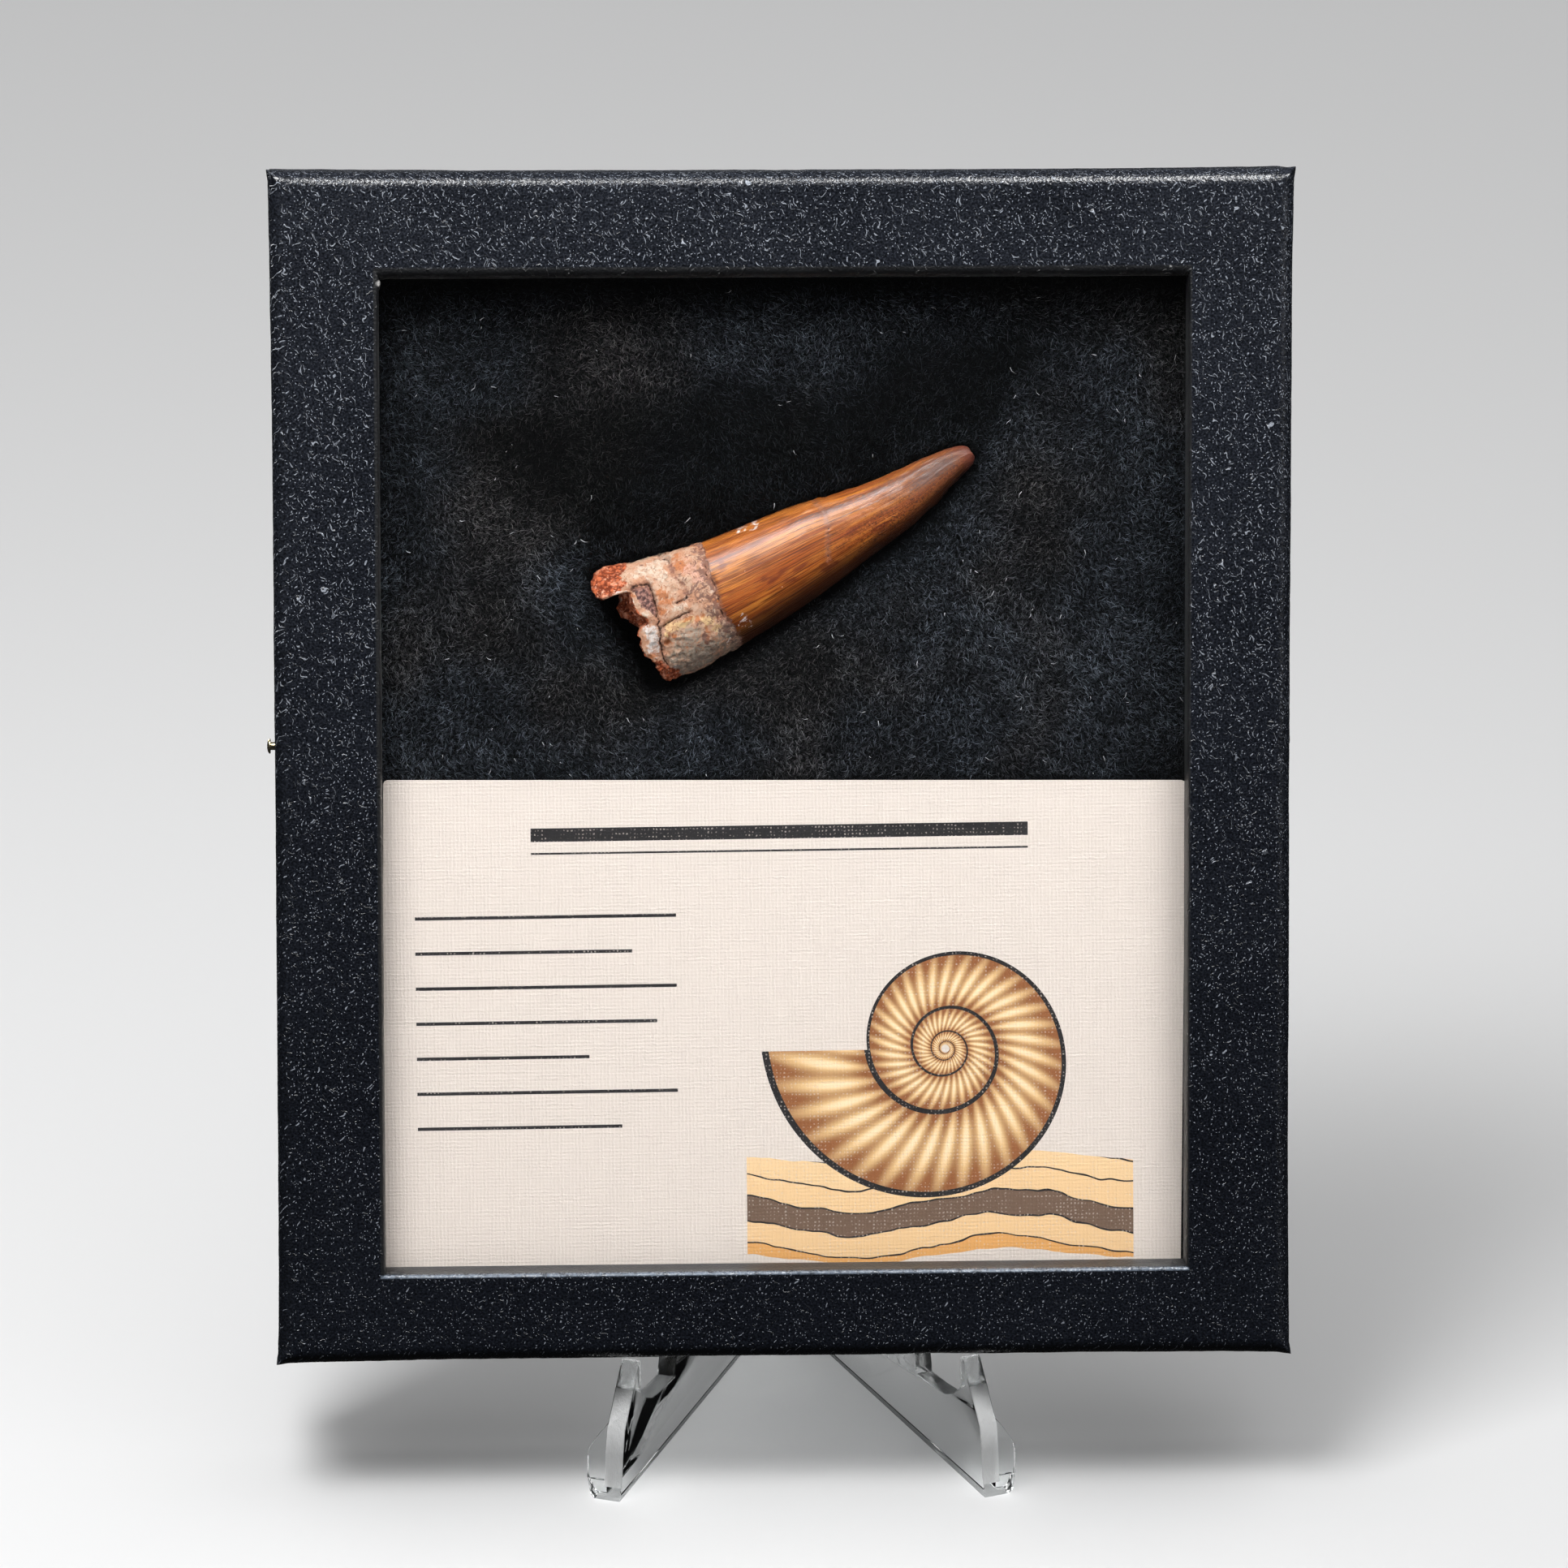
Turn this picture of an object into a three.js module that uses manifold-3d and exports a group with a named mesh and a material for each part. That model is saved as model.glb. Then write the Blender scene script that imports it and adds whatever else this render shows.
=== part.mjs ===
/**
 * Fossil tooth in a glass-topped specimen box, leaning on a two-plate clear
 * easel. Millimetres, +Z up, the box faces -Y.
 *
 * The box is drawn upright in its own frame (x across, y into the depth from
 * the front face, z up the face) and then leaned back onto the easel. Each
 * easel plate is drawn flat as an outline of s (along the plate from its
 * front foot) and z, and then turned about the vertical.
 */
import * as THREE from 'three';
import { mergeVertices } from 'three/addons/utils/BufferGeometryUtils.js';
import Module from 'manifold-3d';

const wasm = await Module();
wasm.setup();

// ---------------------------------------------------------------- dimensions

const GAP = 0.3;                       // clearance wherever two pieces meet

const BOX = {
  width: 127, height: 148.5, depth: 20,
  wall: 2.0,                           // covered lid wall
  board: 3.0,                          // covered lid front
  edgeRadius: 2.0,                     // outer front edges
  lipRadius: 0.9,                      // window edges
  lean: THREE.MathUtils.degToRad(15),
  frontFoot: { x: -2.2, y: 1.0, z: 18.7 },   // bottom middle of the front face
};

// window opening at the back of the lip, and the extra at its front
const WINDOW = { left: -49.8, right: 50.0, bottom: 12.0, top: 135.0, draft: 0.3, sill: 0.8 };

const GLASS = { thickness: 1.6 };
const TRAY = { wall: 1.8, floor: 2.0 };
const PAD = { cornerRadius: 3 };
const CARD = { width: 100, height: 63.5, thickness: 0.4, x: 0.3, top: 72.6, turn: -0.4 };
const PIN = { head: 0.95, headHeight: 0.45, shaft: 0.5, hole: 0.8, length: 9, z: 76.6, y: 11 };

// depths of the layers behind the lid front, measured from the front face
const GLASS_FRONT = BOX.board + GAP;
const CARD_FRONT = GLASS_FRONT + GLASS.thickness + GAP;
const PAD_FRONT = CARD_FRONT + CARD.thickness + GAP;
const TRAY_FRONT = CARD_FRONT;
const FLOOR_FRONT = BOX.depth - TRAY.floor;
const PAD_BACK = FLOOR_FRONT - GAP;

/**
 * Tooth stations from the broken root (u = 0) to the tip along the straight
 * line from root to tip: upper and lower edge heights off that line, and half
 * the thickness from front to back.
 */
const TOOTH = {
  origin: { x: -19.4, z: 91.15 },
  rise: THREE.MathUtils.degToRad(26.4),
  front: 5.35,                         // depth of the line nearest the glass
  segments: 36,
  stations: [
    // u, upper, lower, half depth
    [-0.6, 6.1, -4.9, 3.9],
    [0.6, 7.6, -6.9, 4.9],
    [2.2, 7.6, -8.3, 5.2],
    [4.0, 7.15, -8.75, 5.3],
    [6.0, 6.75, -8.85, 5.35],
    [9.0, 6.1, -8.7, 5.4],
    [12.0, 5.5, -8.45, 5.4],
    [13.4, 5.25, -8.35, 5.4],
    [15.0, 5.2, -8.25, 5.3],
    [18.0, 4.95, -7.95, 5.15],
    [21.5, 4.65, -7.5, 4.95],
    [25.0, 4.4, -6.95, 4.65],
    [27.5, 4.0, -6.5, 4.35],
    [30.0, 3.5, -5.95, 4.0],
    [33.5, 2.95, -5.25, 3.5],
    [36.7, 2.65, -4.8, 3.15],
    [39.5, 2.5, -4.05, 2.8],
    [42.0, 2.55, -3.2, 2.4],
    [44.5, 2.4, -2.1, 1.95],
    [46.6, 2.1, -1.3, 1.5],
    [47.9, 1.75, -0.8, 1.1],
    [48.6, 1.1, -0.3, 0.6],
  ],
};

const EASEL = {
  thickness: 2.4,
  angle: THREE.MathUtils.degToRad(21.7),     // each plate off the depth axis
  halfSpacing: 23.1,                         // inner faces at the front feet
  length: 88,                                // front foot to rear foot
  backTop: 80,                               // height of the back rests
  backWidth: 8,
  seat: 8.4,
  slotClearance: 0.4,
  slotMiddle: 20,                            // height where the plates half-lap
  // front edge from the table up to the lip that carries the box (s, z)
  frontEdge: [[0.35, 0], [0.6, 0.9], [1.15, 2.8], [1.5, 6.0], [2.1, 9.1],
    [3.75, 11.3], [5.2, 13.4], [6.9, 15.7], [7.5, 16.4], [8.0, 16.35], [8.35, 15.8]],
  // inner side of the lip and the start of the seat
  lipInside: [[8.35, 11.9], [10.1, 10.3], [12.5, 9.2], [16.3, 8.7]],
  toeReach: 4.8,                             // toe flange, out from the inner face
  toeThickness: 1.3,
  toeFoot: 3.0,
  // outline of the toe flange (outward, z)
  toe: [[0.5, 0], [3.5, 0], [4.0, 0.5], [4.4, 1.7], [4.7, 2.6], [4.8, 5.1],
    [4.5, 6.5], [3.4, 8.3], [2.3, 9.8], [0.5, 10.4]],
};

// ------------------------------------------------------------------- helpers

/** Signed volume of an indexed closed geometry. */
function signedVolume(geometry) {
  const p = geometry.getAttribute('position');
  const index = geometry.getIndex();
  const [a, b, c] = [new THREE.Vector3(), new THREE.Vector3(), new THREE.Vector3()];
  let sum = 0;
  for (let i = 0; i < index.count; i += 3) {
    a.fromBufferAttribute(p, index.getX(i));
    b.fromBufferAttribute(p, index.getX(i + 1));
    c.fromBufferAttribute(p, index.getX(i + 2));
    sum += a.dot(b.cross(c)) / 6;
  }
  return sum;
}

/** Position-only, merged and facing outward. */
function closed(geometry) {
  const bare = geometry.clone();
  bare.deleteAttribute('normal');
  bare.deleteAttribute('uv');
  const merged = mergeVertices(bare, 1e-4);
  if (signedVolume(merged) < 0) {
    const index = merged.getIndex();
    for (let i = 0; i < index.count; i += 3) {
      const first = index.getX(i);
      index.setX(i, index.getX(i + 1));
      index.setX(i + 1, first);
    }
  }
  return merged;
}

function toSolid(geometry) {
  const merged = closed(geometry);
  return new wasm.Manifold(new wasm.Mesh({
    numProp: 3,
    vertProperties: new Float32Array(merged.getAttribute('position').array),
    triVerts: new Uint32Array(merged.getIndex().array),
  }));
}

function fromSolid(solid) {
  const mesh = solid.getMesh();
  const geometry = new THREE.BufferGeometry();
  geometry.setAttribute('position', new THREE.BufferAttribute(new Float32Array(mesh.vertProperties), 3));
  geometry.setIndex(new THREE.BufferAttribute(new Uint32Array(mesh.triVerts), 1));
  return geometry;
}

/** First geometry with every geometry in `cutters` taken out of it. */
function cut(geometry, ...cutters) {
  return fromSolid(cutters.reduce((solid, tool) => solid.subtract(toSolid(tool)), toSolid(geometry)));
}

function join(...geometries) {
  const [first, ...rest] = geometries.map(toSolid);
  return fromSolid(rest.reduce((solid, other) => solid.add(other), first));
}

function common(a, b) {
  return fromSolid(toSolid(a).intersect(toSolid(b)));
}

/** Skin over rings with equal point counts; `loop` joins the last to the first. */
function loft(rings, loop = false) {
  const count = rings[0].length;
  const positions = rings.flat(2);
  const index = [];
  const last = loop ? rings.length : rings.length - 1;
  for (let r = 0; r < last; r += 1) {
    const next = (r + 1) % rings.length;
    for (let i = 0; i < count; i += 1) {
      const j = (i + 1) % count;
      const [a, b, c, d] = [r * count + i, r * count + j, next * count + j, next * count + i];
      index.push(a, b, c, a, c, d);
    }
  }
  if (!loop) {
    for (const [ring, flip] of [[0, true], [rings.length - 1, false]]) {
      const centre = positions.length / 3;
      const mean = [0, 1, 2].map((k) => rings[ring].reduce((sum, p) => sum + p[k], 0) / count);
      positions.push(...mean);
      for (let i = 0; i < count; i += 1) {
        const j = (i + 1) % count;
        const [a, b] = [ring * count + i, ring * count + j];
        index.push(centre, flip ? b : a, flip ? a : b);
      }
    }
  }
  const geometry = new THREE.BufferGeometry();
  geometry.setAttribute('position', new THREE.Float32BufferAttribute(positions, 3));
  geometry.setIndex(index);
  return geometry;
}

function block(x0, x1, y0, y1, z0, z1) {
  return new THREE.BoxGeometry(x1 - x0, y1 - y0, z1 - z0)
    .translate((x0 + x1) / 2, (y0 + y1) / 2, (z0 + z1) / 2);
}

function shapeOf(points) {
  return new THREE.Shape(points.map(([x, y]) => new THREE.Vector2(x, y)));
}

function prism(points, depth) {
  return new THREE.ExtrudeGeometry(shapeOf(points), { depth, bevelEnabled: false });
}

/** Rectangle with rounded corners in x and z, as a slab from y0 to y1. */
function roundedSlab(x0, x1, y0, y1, z0, z1, radius, divisions = 4) {
  const points = [];
  const corners = [[x1, z1, 0], [x0, z1, 90], [x0, z0, 180], [x1, z0, 270]];
  for (const [x, z, start] of corners) {
    const cx = x - Math.sign(x - (x0 + x1) / 2) * radius;
    const cz = z - Math.sign(z - (z0 + z1) / 2) * radius;
    for (let k = 0; k <= divisions; k += 1) {
      const angle = THREE.MathUtils.degToRad(start + (90 * k) / divisions);
      points.push([cx + radius * Math.cos(angle), cz + radius * Math.sin(angle)]);
    }
  }
  return prism(points, y1 - y0).rotateX(Math.PI / 2).translate(0, y1, 0);
}

/** Four corners of an upright rectangle at depth y. */
function rectangle(x0, x1, z0, z1, y) {
  return [[x0, y, z0], [x1, y, z0], [x1, y, z1], [x0, y, z1]];
}

function material(color, roughness, metalness = 0, extra = {}) {
  return new THREE.MeshStandardMaterial({ color, roughness, metalness, ...extra });
}

// ------------------------------------------------------------- specimen box

const half = BOX.width / 2;

/** Covered lid: four walls and a front with rounded edges around the window. */
function makeLid(pinHoles) {
  const rings = [];
  const outer = (inset, y) => rectangle(-half + inset, half - inset, inset, BOX.height - inset, y);
  const window = (grow, sill, y) => rectangle(
    WINDOW.left - grow, WINDOW.right + grow, WINDOW.bottom - sill, WINDOW.top + grow, y);
  const steps = 5;
  rings.push(outer(0, BOX.depth));
  for (let k = 0; k <= steps; k += 1) {
    const angle = (k / steps) * (Math.PI / 2);
    rings.push(outer(BOX.edgeRadius * (1 - Math.cos(angle)), BOX.edgeRadius * (1 - Math.sin(angle))));
  }
  for (let k = 0; k <= 3; k += 1) {
    const angle = (k / 3) * (Math.PI / 2);
    const roll = BOX.lipRadius * (1 - Math.sin(angle));
    rings.push(window(WINDOW.draft + roll, WINDOW.sill + roll, BOX.lipRadius * (1 - Math.cos(angle))));
  }
  rings.push(window(0, 0, BOX.board));
  rings.push(outer(BOX.wall, BOX.board));
  rings.push(outer(BOX.wall, BOX.depth));
  return cut(loft(rings, true), ...pinHoles);
}

function makeGlass() {
  const inset = BOX.wall + GAP;
  return block(-half + inset, half - inset, GLASS_FRONT, GLASS_FRONT + GLASS.thickness,
    inset, BOX.height - inset);
}

/** Shallow tray that nests in the lid and is open towards the glass. */
function makeTray(pinHoles) {
  const outside = BOX.wall + GAP;
  const inside = outside + TRAY.wall;
  const shell = block(-half + outside, half - outside, TRAY_FRONT, BOX.depth,
    outside, BOX.height - outside);
  const hollow = block(-half + inside, half - inside, TRAY_FRONT - 1, FLOOR_FRONT,
    inside, BOX.height - inside);
  return cut(shell, hollow, ...pinHoles);
}

/** Point of the tooth's skin frame: u along, v across, in the box frame. */
function toothPoint(u, v, y) {
  const { origin, rise } = TOOTH;
  return [
    origin.x + u * Math.cos(rise) - v * Math.sin(rise),
    y,
    origin.z + u * Math.sin(rise) + v * Math.cos(rise),
  ];
}

/** Depth of the tooth's axis at a station, its front line lying near the glass. */
function toothAxisDepth(u, halfDepth) {
  return TOOTH.front + halfDepth + 0.02 * Math.max(0, u - 13);
}

function makeTooth() {
  const rings = TOOTH.stations.map(([u, upper, lower, halfDepth], station) => {
    const middle = (upper + lower) / 2;
    const halfWidth = (upper - lower) / 2;
    const axis = toothAxisDepth(u, halfDepth);
    const ring = [];
    for (let i = 0; i < TOOTH.segments; i += 1) {
      const angle = (i / TOOTH.segments) * Math.PI * 2;
      const chip = station < 2 ? 0.92 + 0.08 * Math.sin(3 * angle + station) : 1;
      const lag = station < 2 ? 0.9 * Math.sin(angle - 0.4) : 0;
      ring.push(toothPoint(u - lag, middle + halfWidth * chip * Math.sin(angle),
        axis - halfDepth * chip * Math.cos(angle)));
    }
    return ring;
  });
  return loft(rings);
}

/** Room for the tooth: its own form a little larger, open to the glass. */
function makePocket() {
  const margin = 0.35;
  const stations = TOOTH.stations;
  const [first, last] = [stations[0], stations[stations.length - 1]];
  const ends = [
    [first[0] - 2.0, first[1], first[2], first[3]],
    ...stations.map(([u, upper, lower, depth]) => [u, upper, lower, depth]),
    [last[0] + 0.6, last[1], last[2], last[3]],
  ];
  const wide = { upper: 7.6, lower: -8.3, depth: 5.2 };
  const rings = ends.map(([u, upper, lower, halfDepth], station) => {
    const blunt = station < 4;
    const top = (blunt ? Math.max(upper, wide.upper) : upper) + margin;
    const bottom = (blunt ? Math.min(lower, wide.lower) : lower) - margin;
    const deep = (blunt ? Math.max(halfDepth, wide.depth) : halfDepth) + margin;
    const middle = (top + bottom) / 2;
    const halfWidth = (top - bottom) / 2;
    const axis = toothAxisDepth(u, blunt ? wide.depth : halfDepth);
    const ring = [toothPoint(u, bottom, PAD_FRONT - 1), toothPoint(u, top, PAD_FRONT - 1)];
    const steps = 12;
    for (let i = 0; i <= steps; i += 1) {
      const angle = (i / steps) * Math.PI;
      ring.push(toothPoint(u, middle + halfWidth * Math.cos(angle), axis + deep * Math.sin(angle)));
    }
    return ring;
  });
  return loft(rings);
}

/** Soft filling of the tray, with the pocket that the tooth lies in. */
function makePad(pinHoles) {
  const inset = BOX.wall + GAP + TRAY.wall + GAP;
  const filling = roundedSlab(-half + inset, half - inset, PAD_FRONT, PAD_BACK,
    inset, BOX.height - inset, PAD.cornerRadius);
  return cut(filling, makePocket(), ...pinHoles);
}

function makeCard() {
  const slab = roundedSlab(-CARD.width / 2, CARD.width / 2, CARD_FRONT, CARD_FRONT + CARD.thickness,
    -CARD.height, 0, 0.5, 2);
  return slab.rotateY(THREE.MathUtils.degToRad(-CARD.turn)).translate(CARD.x, 0, CARD.top);
}

/** Small dome-headed pin, its head outside the lid wall; `side` is -1 or +1. */
function makePin(side) {
  const profile = [
    [0, 0], [0.25, 0.6], [PIN.shaft, 1.6],
    [PIN.shaft, PIN.length], [PIN.head, PIN.length],
    [PIN.head * 0.93, PIN.length + PIN.headHeight * 0.5],
    [PIN.head * 0.6, PIN.length + PIN.headHeight * 0.9], [0, PIN.length + PIN.headHeight],
  ].map(([r, z]) => new THREE.Vector2(r, z));
  const headFace = half + 0.2;
  return new THREE.LatheGeometry(profile, 14)
    .translate(0, headFace - PIN.length, 0)
    .rotateZ(-side * Math.PI / 2)
    .translate(0, PIN.y, PIN.z);
}

function pinHole(side) {
  return new THREE.CylinderGeometry(PIN.hole, PIN.hole, PIN.length + 4, 12)
    .rotateZ(Math.PI / 2)
    .translate(side * (half - PIN.length / 2 + 1), PIN.y, PIN.z);
}

// -------------------------------------------------------------------- easel

/** Distance s along a plate at which the leaning box's back lies at height z. */
function backrestAt(z) {
  const { lean, frontFoot, depth } = BOX;
  const back = depth + GAP;
  const y = frontFoot.y + back * Math.cos(lean)
    + (z - frontFoot.z + back * Math.sin(lean)) * Math.tan(lean);
  return y / Math.cos(EASEL.angle);
}

/** Outline of one plate in s and z; the slot opens at the top or the bottom. */
function plateOutline(slotFromTop) {
  const {
    thickness, angle, halfSpacing, frontEdge, lipInside, length, backTop, backWidth, seat,
    slotClearance, slotMiddle,
  } = EASEL;
  // the other plate crosses this one between these two distances
  const nearSide = halfSpacing / Math.sin(angle);
  const farSide = nearSide + thickness / Math.tan(angle);
  const [slot0, slot1] = [nearSide - slotClearance, farSide + slotClearance];
  const topS = backrestAt(backTop);
  const rearTop = [topS + backWidth, backTop - 1.5];
  const rearFoot = [length, 5];
  const rearEdge = (s) => {
    const t = (s - rearTop[0]) / (rearFoot[0] - rearTop[0]);
    return rearTop[1] + t * (rearFoot[1] - rearTop[1]);
  };
  const points = [];
  if (!slotFromTop) {
    points.push([slot0, 0], [slot0, slotMiddle + GAP], [slot1, slotMiddle + GAP], [slot1, 0]);
  }
  points.push([length - 2, 0], [length - 0.5, 0.6], [length, 2], rearFoot);
  if (slotFromTop) {
    points.push([slot1, rearEdge(slot1)], [slot1, slotMiddle - GAP],
      [slot0, slotMiddle - GAP], [slot0, rearEdge(slot0)]);
  }
  points.push(rearTop, [rearTop[0] - 1.4, backTop], [topS + 1.6, backTop],
    [backrestAt(backTop - 1.6), backTop - 1.6], [backrestAt(seat + 1), seat + 1],
    [backrestAt(seat) + 0.1, seat], ...lipInside.slice().reverse(), ...frontEdge.slice().reverse());
  return points;
}

/** One plate with its toe flange; `side` is -1 on the left and +1 on the right. */
function makeEaselPlate(side) {
  const { thickness, toeReach, toeThickness, toeFoot, toe, frontEdge } = EASEL;
  const plate = prism(plateOutline(side < 0), thickness);

  const front = frontEdge.slice(0, 6);
  const back = front.map(([s, z]) => [s + toeThickness, z]).reverse();
  const sheet = prism([...front, ...back], toeReach + 1);
  const foot = prism([[0.35, 0], [toeFoot, 0], [toeFoot, 1.8], [0.9, 1.9], [0.6, 0.9]], toeReach + 1);
  const outline = prism(toe, 10).rotateY(-Math.PI / 2).scale(1, 1, 1);
  // the outline is drawn in (outward, z) and swept along s
  outline.translate(8, 0, 0);
  const flange = common(join(sheet, foot), outline);

  const leg = join(plate, flange);
  if (side < 0) leg.scale(1, 1, -1);
  return closed(leg);
}

// ----------------------------------------------------------------- assembly

const finishes = {
  lid: material(0x15171b, 0.42),
  glass: material(0xf2f6f6, 0.05, 0, { transparent: true, opacity: 0.12 }),
  tray: material(0x1c1c1e, 0.7),
  pad: material(0x0d0d10, 1.0),
  card: material(0xece4d6, 0.85),
  tooth: material(0x8a5a33, 0.45),
  pin: material(0xb9a674, 0.3, 1),
  easel: material(0xdfe6e8, 0.1, 0, { transparent: true, opacity: 0.3 }),
};

const object = new THREE.Group();
const specimenBox = new THREE.Group();
specimenBox.rotation.x = -BOX.lean;
specimenBox.position.set(BOX.frontFoot.x, BOX.frontFoot.y, BOX.frontFoot.z);
object.add(specimenBox);

function addPiece(parent, name, geometry, finish) {
  const mesh = new THREE.Mesh(closed(geometry), finish);
  mesh.name = name;
  parent.add(mesh);
  return mesh;
}

const pinHoles = [pinHole(-1), pinHole(1)];
addPiece(specimenBox, 'lid', makeLid(pinHoles), finishes.lid);
addPiece(specimenBox, 'glass_pane', makeGlass(), finishes.glass);
addPiece(specimenBox, 'tray', makeTray(pinHoles), finishes.tray);
addPiece(specimenBox, 'fibre_pad', makePad(pinHoles), finishes.pad);
addPiece(specimenBox, 'label_card', makeCard(), finishes.card);
addPiece(specimenBox, 'tooth', makeTooth(), finishes.tooth);
addPiece(specimenBox, 'pin_left', makePin(-1), finishes.pin);
addPiece(specimenBox, 'pin_right', makePin(1), finishes.pin);

for (const side of [-1, 1]) {
  const leg = addPiece(object, side < 0 ? 'stand_left' : 'stand_right', makeEaselPlate(side), finishes.easel);
  const along = new THREE.Vector3(-side * Math.sin(EASEL.angle), Math.cos(EASEL.angle), 0);
  const up = new THREE.Vector3(0, 0, 1);
  leg.matrixAutoUpdate = false;
  leg.matrix.makeBasis(along, up, along.clone().cross(up));
  leg.matrix.setPosition(side * EASEL.halfSpacing, 0, 0);
  leg.matrix.decompose(leg.position, leg.quaternion, leg.scale);
  leg.matrixAutoUpdate = true;
}

// the origin is under the middle of the whole object, on the table
object.updateMatrixWorld(true);
const bounds = new THREE.Box3().setFromObject(object);
const centre = bounds.getCenter(new THREE.Vector3());
for (const piece of object.children) {
  piece.position.x -= centre.x;
  piece.position.y -= centre.y;
  piece.position.z -= bounds.min.z;
}
object.updateMatrixWorld(true);

export default object;
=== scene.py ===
"""Looks of a boxed fossil tooth on its clear easel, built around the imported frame."""

from __future__ import annotations

import functools
import itertools
import logging
import math
from collections.abc import Callable, Iterator, Sequence
from contextlib import contextmanager
from dataclasses import dataclass, field
from enum import Enum

import bmesh
import bpy
import numpy as np
from mathutils import Matrix, Vector

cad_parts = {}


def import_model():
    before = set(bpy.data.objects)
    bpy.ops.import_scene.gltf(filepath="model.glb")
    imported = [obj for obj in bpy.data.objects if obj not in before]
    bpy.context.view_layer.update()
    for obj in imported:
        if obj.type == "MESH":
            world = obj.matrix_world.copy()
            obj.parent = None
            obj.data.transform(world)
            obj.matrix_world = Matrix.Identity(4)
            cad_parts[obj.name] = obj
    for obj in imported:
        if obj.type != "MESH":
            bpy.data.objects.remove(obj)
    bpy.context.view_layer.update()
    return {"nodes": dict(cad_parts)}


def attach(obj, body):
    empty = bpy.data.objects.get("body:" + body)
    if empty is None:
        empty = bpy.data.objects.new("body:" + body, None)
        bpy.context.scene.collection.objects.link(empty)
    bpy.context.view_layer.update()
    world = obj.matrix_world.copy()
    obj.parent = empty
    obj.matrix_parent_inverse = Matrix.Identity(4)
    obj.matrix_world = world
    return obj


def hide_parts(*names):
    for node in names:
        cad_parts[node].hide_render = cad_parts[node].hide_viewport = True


LOG = logging.getLogger("specimen")
MM = 0.001
BODY = "root"
Piece = bpy.types.Object
Finish = bpy.types.Material
Socket = bpy.types.NodeSocket
Value = "Socket | float | Sequence[float]"
Draw = np.random.Generator
Inputs = "dict[str | int, Value]"
Range = tuple[float, float]
Spot = tuple[float, float]
Place = tuple[float, float, float]
Numbers = tuple[float, float, float, float]
Colour = Numbers
Tinted = "tuple[Socket, Socket]"
Line = tuple[tuple[float, float], ...]


# --- modelling


def select_only(piece: Piece) -> None:
    """Makes one object the only selected and active one."""
    bpy.ops.object.select_all(action="DESELECT")
    piece.select_set(True)
    bpy.context.view_layer.objects.active = piece


def select_mesh() -> None:
    """Selects all of the mesh that is being edited."""
    bpy.ops.mesh.select_all(action="SELECT")


@contextmanager
def editing(piece: Piece) -> Iterator[None]:
    """Edit mode on one object, left again at the end."""
    select_only(piece)
    bpy.ops.object.mode_set(mode="EDIT")
    try:
        yield
    finally:
        bpy.ops.object.mode_set(mode="OBJECT")


def pick_faces(piece: Piece, test: Callable[[bmesh.types.BMFace], bool]) -> int:
    """Selects the faces that pass a test, in edit mode.

    Args:
        piece: The object in edit mode.
        test: Says whether a face is wanted.

    Returns:
        How many faces were selected.
    """
    bpy.ops.mesh.select_mode(type="FACE")
    mesh = bmesh.from_edit_mesh(piece.data)
    found = 0
    for face in mesh.faces:
        wanted = test(face)
        face.select_set(wanted)
        found += wanted
    bmesh.update_edit_mesh(piece.data)
    return found


def points_of(piece: Piece) -> np.ndarray:
    """Every vertex place of a mesh, one row each."""
    flat = np.empty(len(piece.data.vertices) * 3, np.float32)
    piece.data.vertices.foreach_get("co", flat)
    return flat.reshape(-1, 3).astype(float)


def normals_of(piece: Piece) -> np.ndarray:
    """Every vertex normal of a mesh, one row each."""
    flat = np.empty(len(piece.data.vertices) * 3, np.float32)
    piece.data.vertex_normals.foreach_get("vector", flat)
    return flat.reshape(-1, 3).astype(float)


def move_points(piece: Piece, points: np.ndarray) -> None:
    """Puts every vertex of a mesh at a new place."""
    piece.data.vertices.foreach_set("co", points.astype(np.float32).ravel())
    piece.data.update()


def store(piece: Piece, name: str, values: np.ndarray) -> None:
    """Keeps one number or one vector for each vertex as a named attribute."""
    kind, key = ("FLOAT", "value") if values.ndim == 1 else ("FLOAT_VECTOR", "vector")
    layer = piece.data.attributes.new(name, kind, "POINT")
    layer.data.foreach_set(key, values.astype(np.float32).ravel())


def apply_modifier(piece: Piece, kind: str, **settings: object) -> None:
    """Adds a modifier with these settings and applies it."""
    select_only(piece)
    added = piece.modifiers.new(kind.title(), kind)
    for name, value in settings.items():
        setattr(added, name, value)
    bpy.ops.object.modifier_apply(modifier=added.name)


def ease_edges(piece: Piece, width: float, angle: float) -> None:
    """Rounds the edges sharper than an angle in degrees over a width in millimetres."""
    limit = math.radians(angle)
    apply_modifier(piece, "BEVEL", width=width * MM, segments=2, limit_method="ANGLE", angle_limit=limit)


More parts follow.
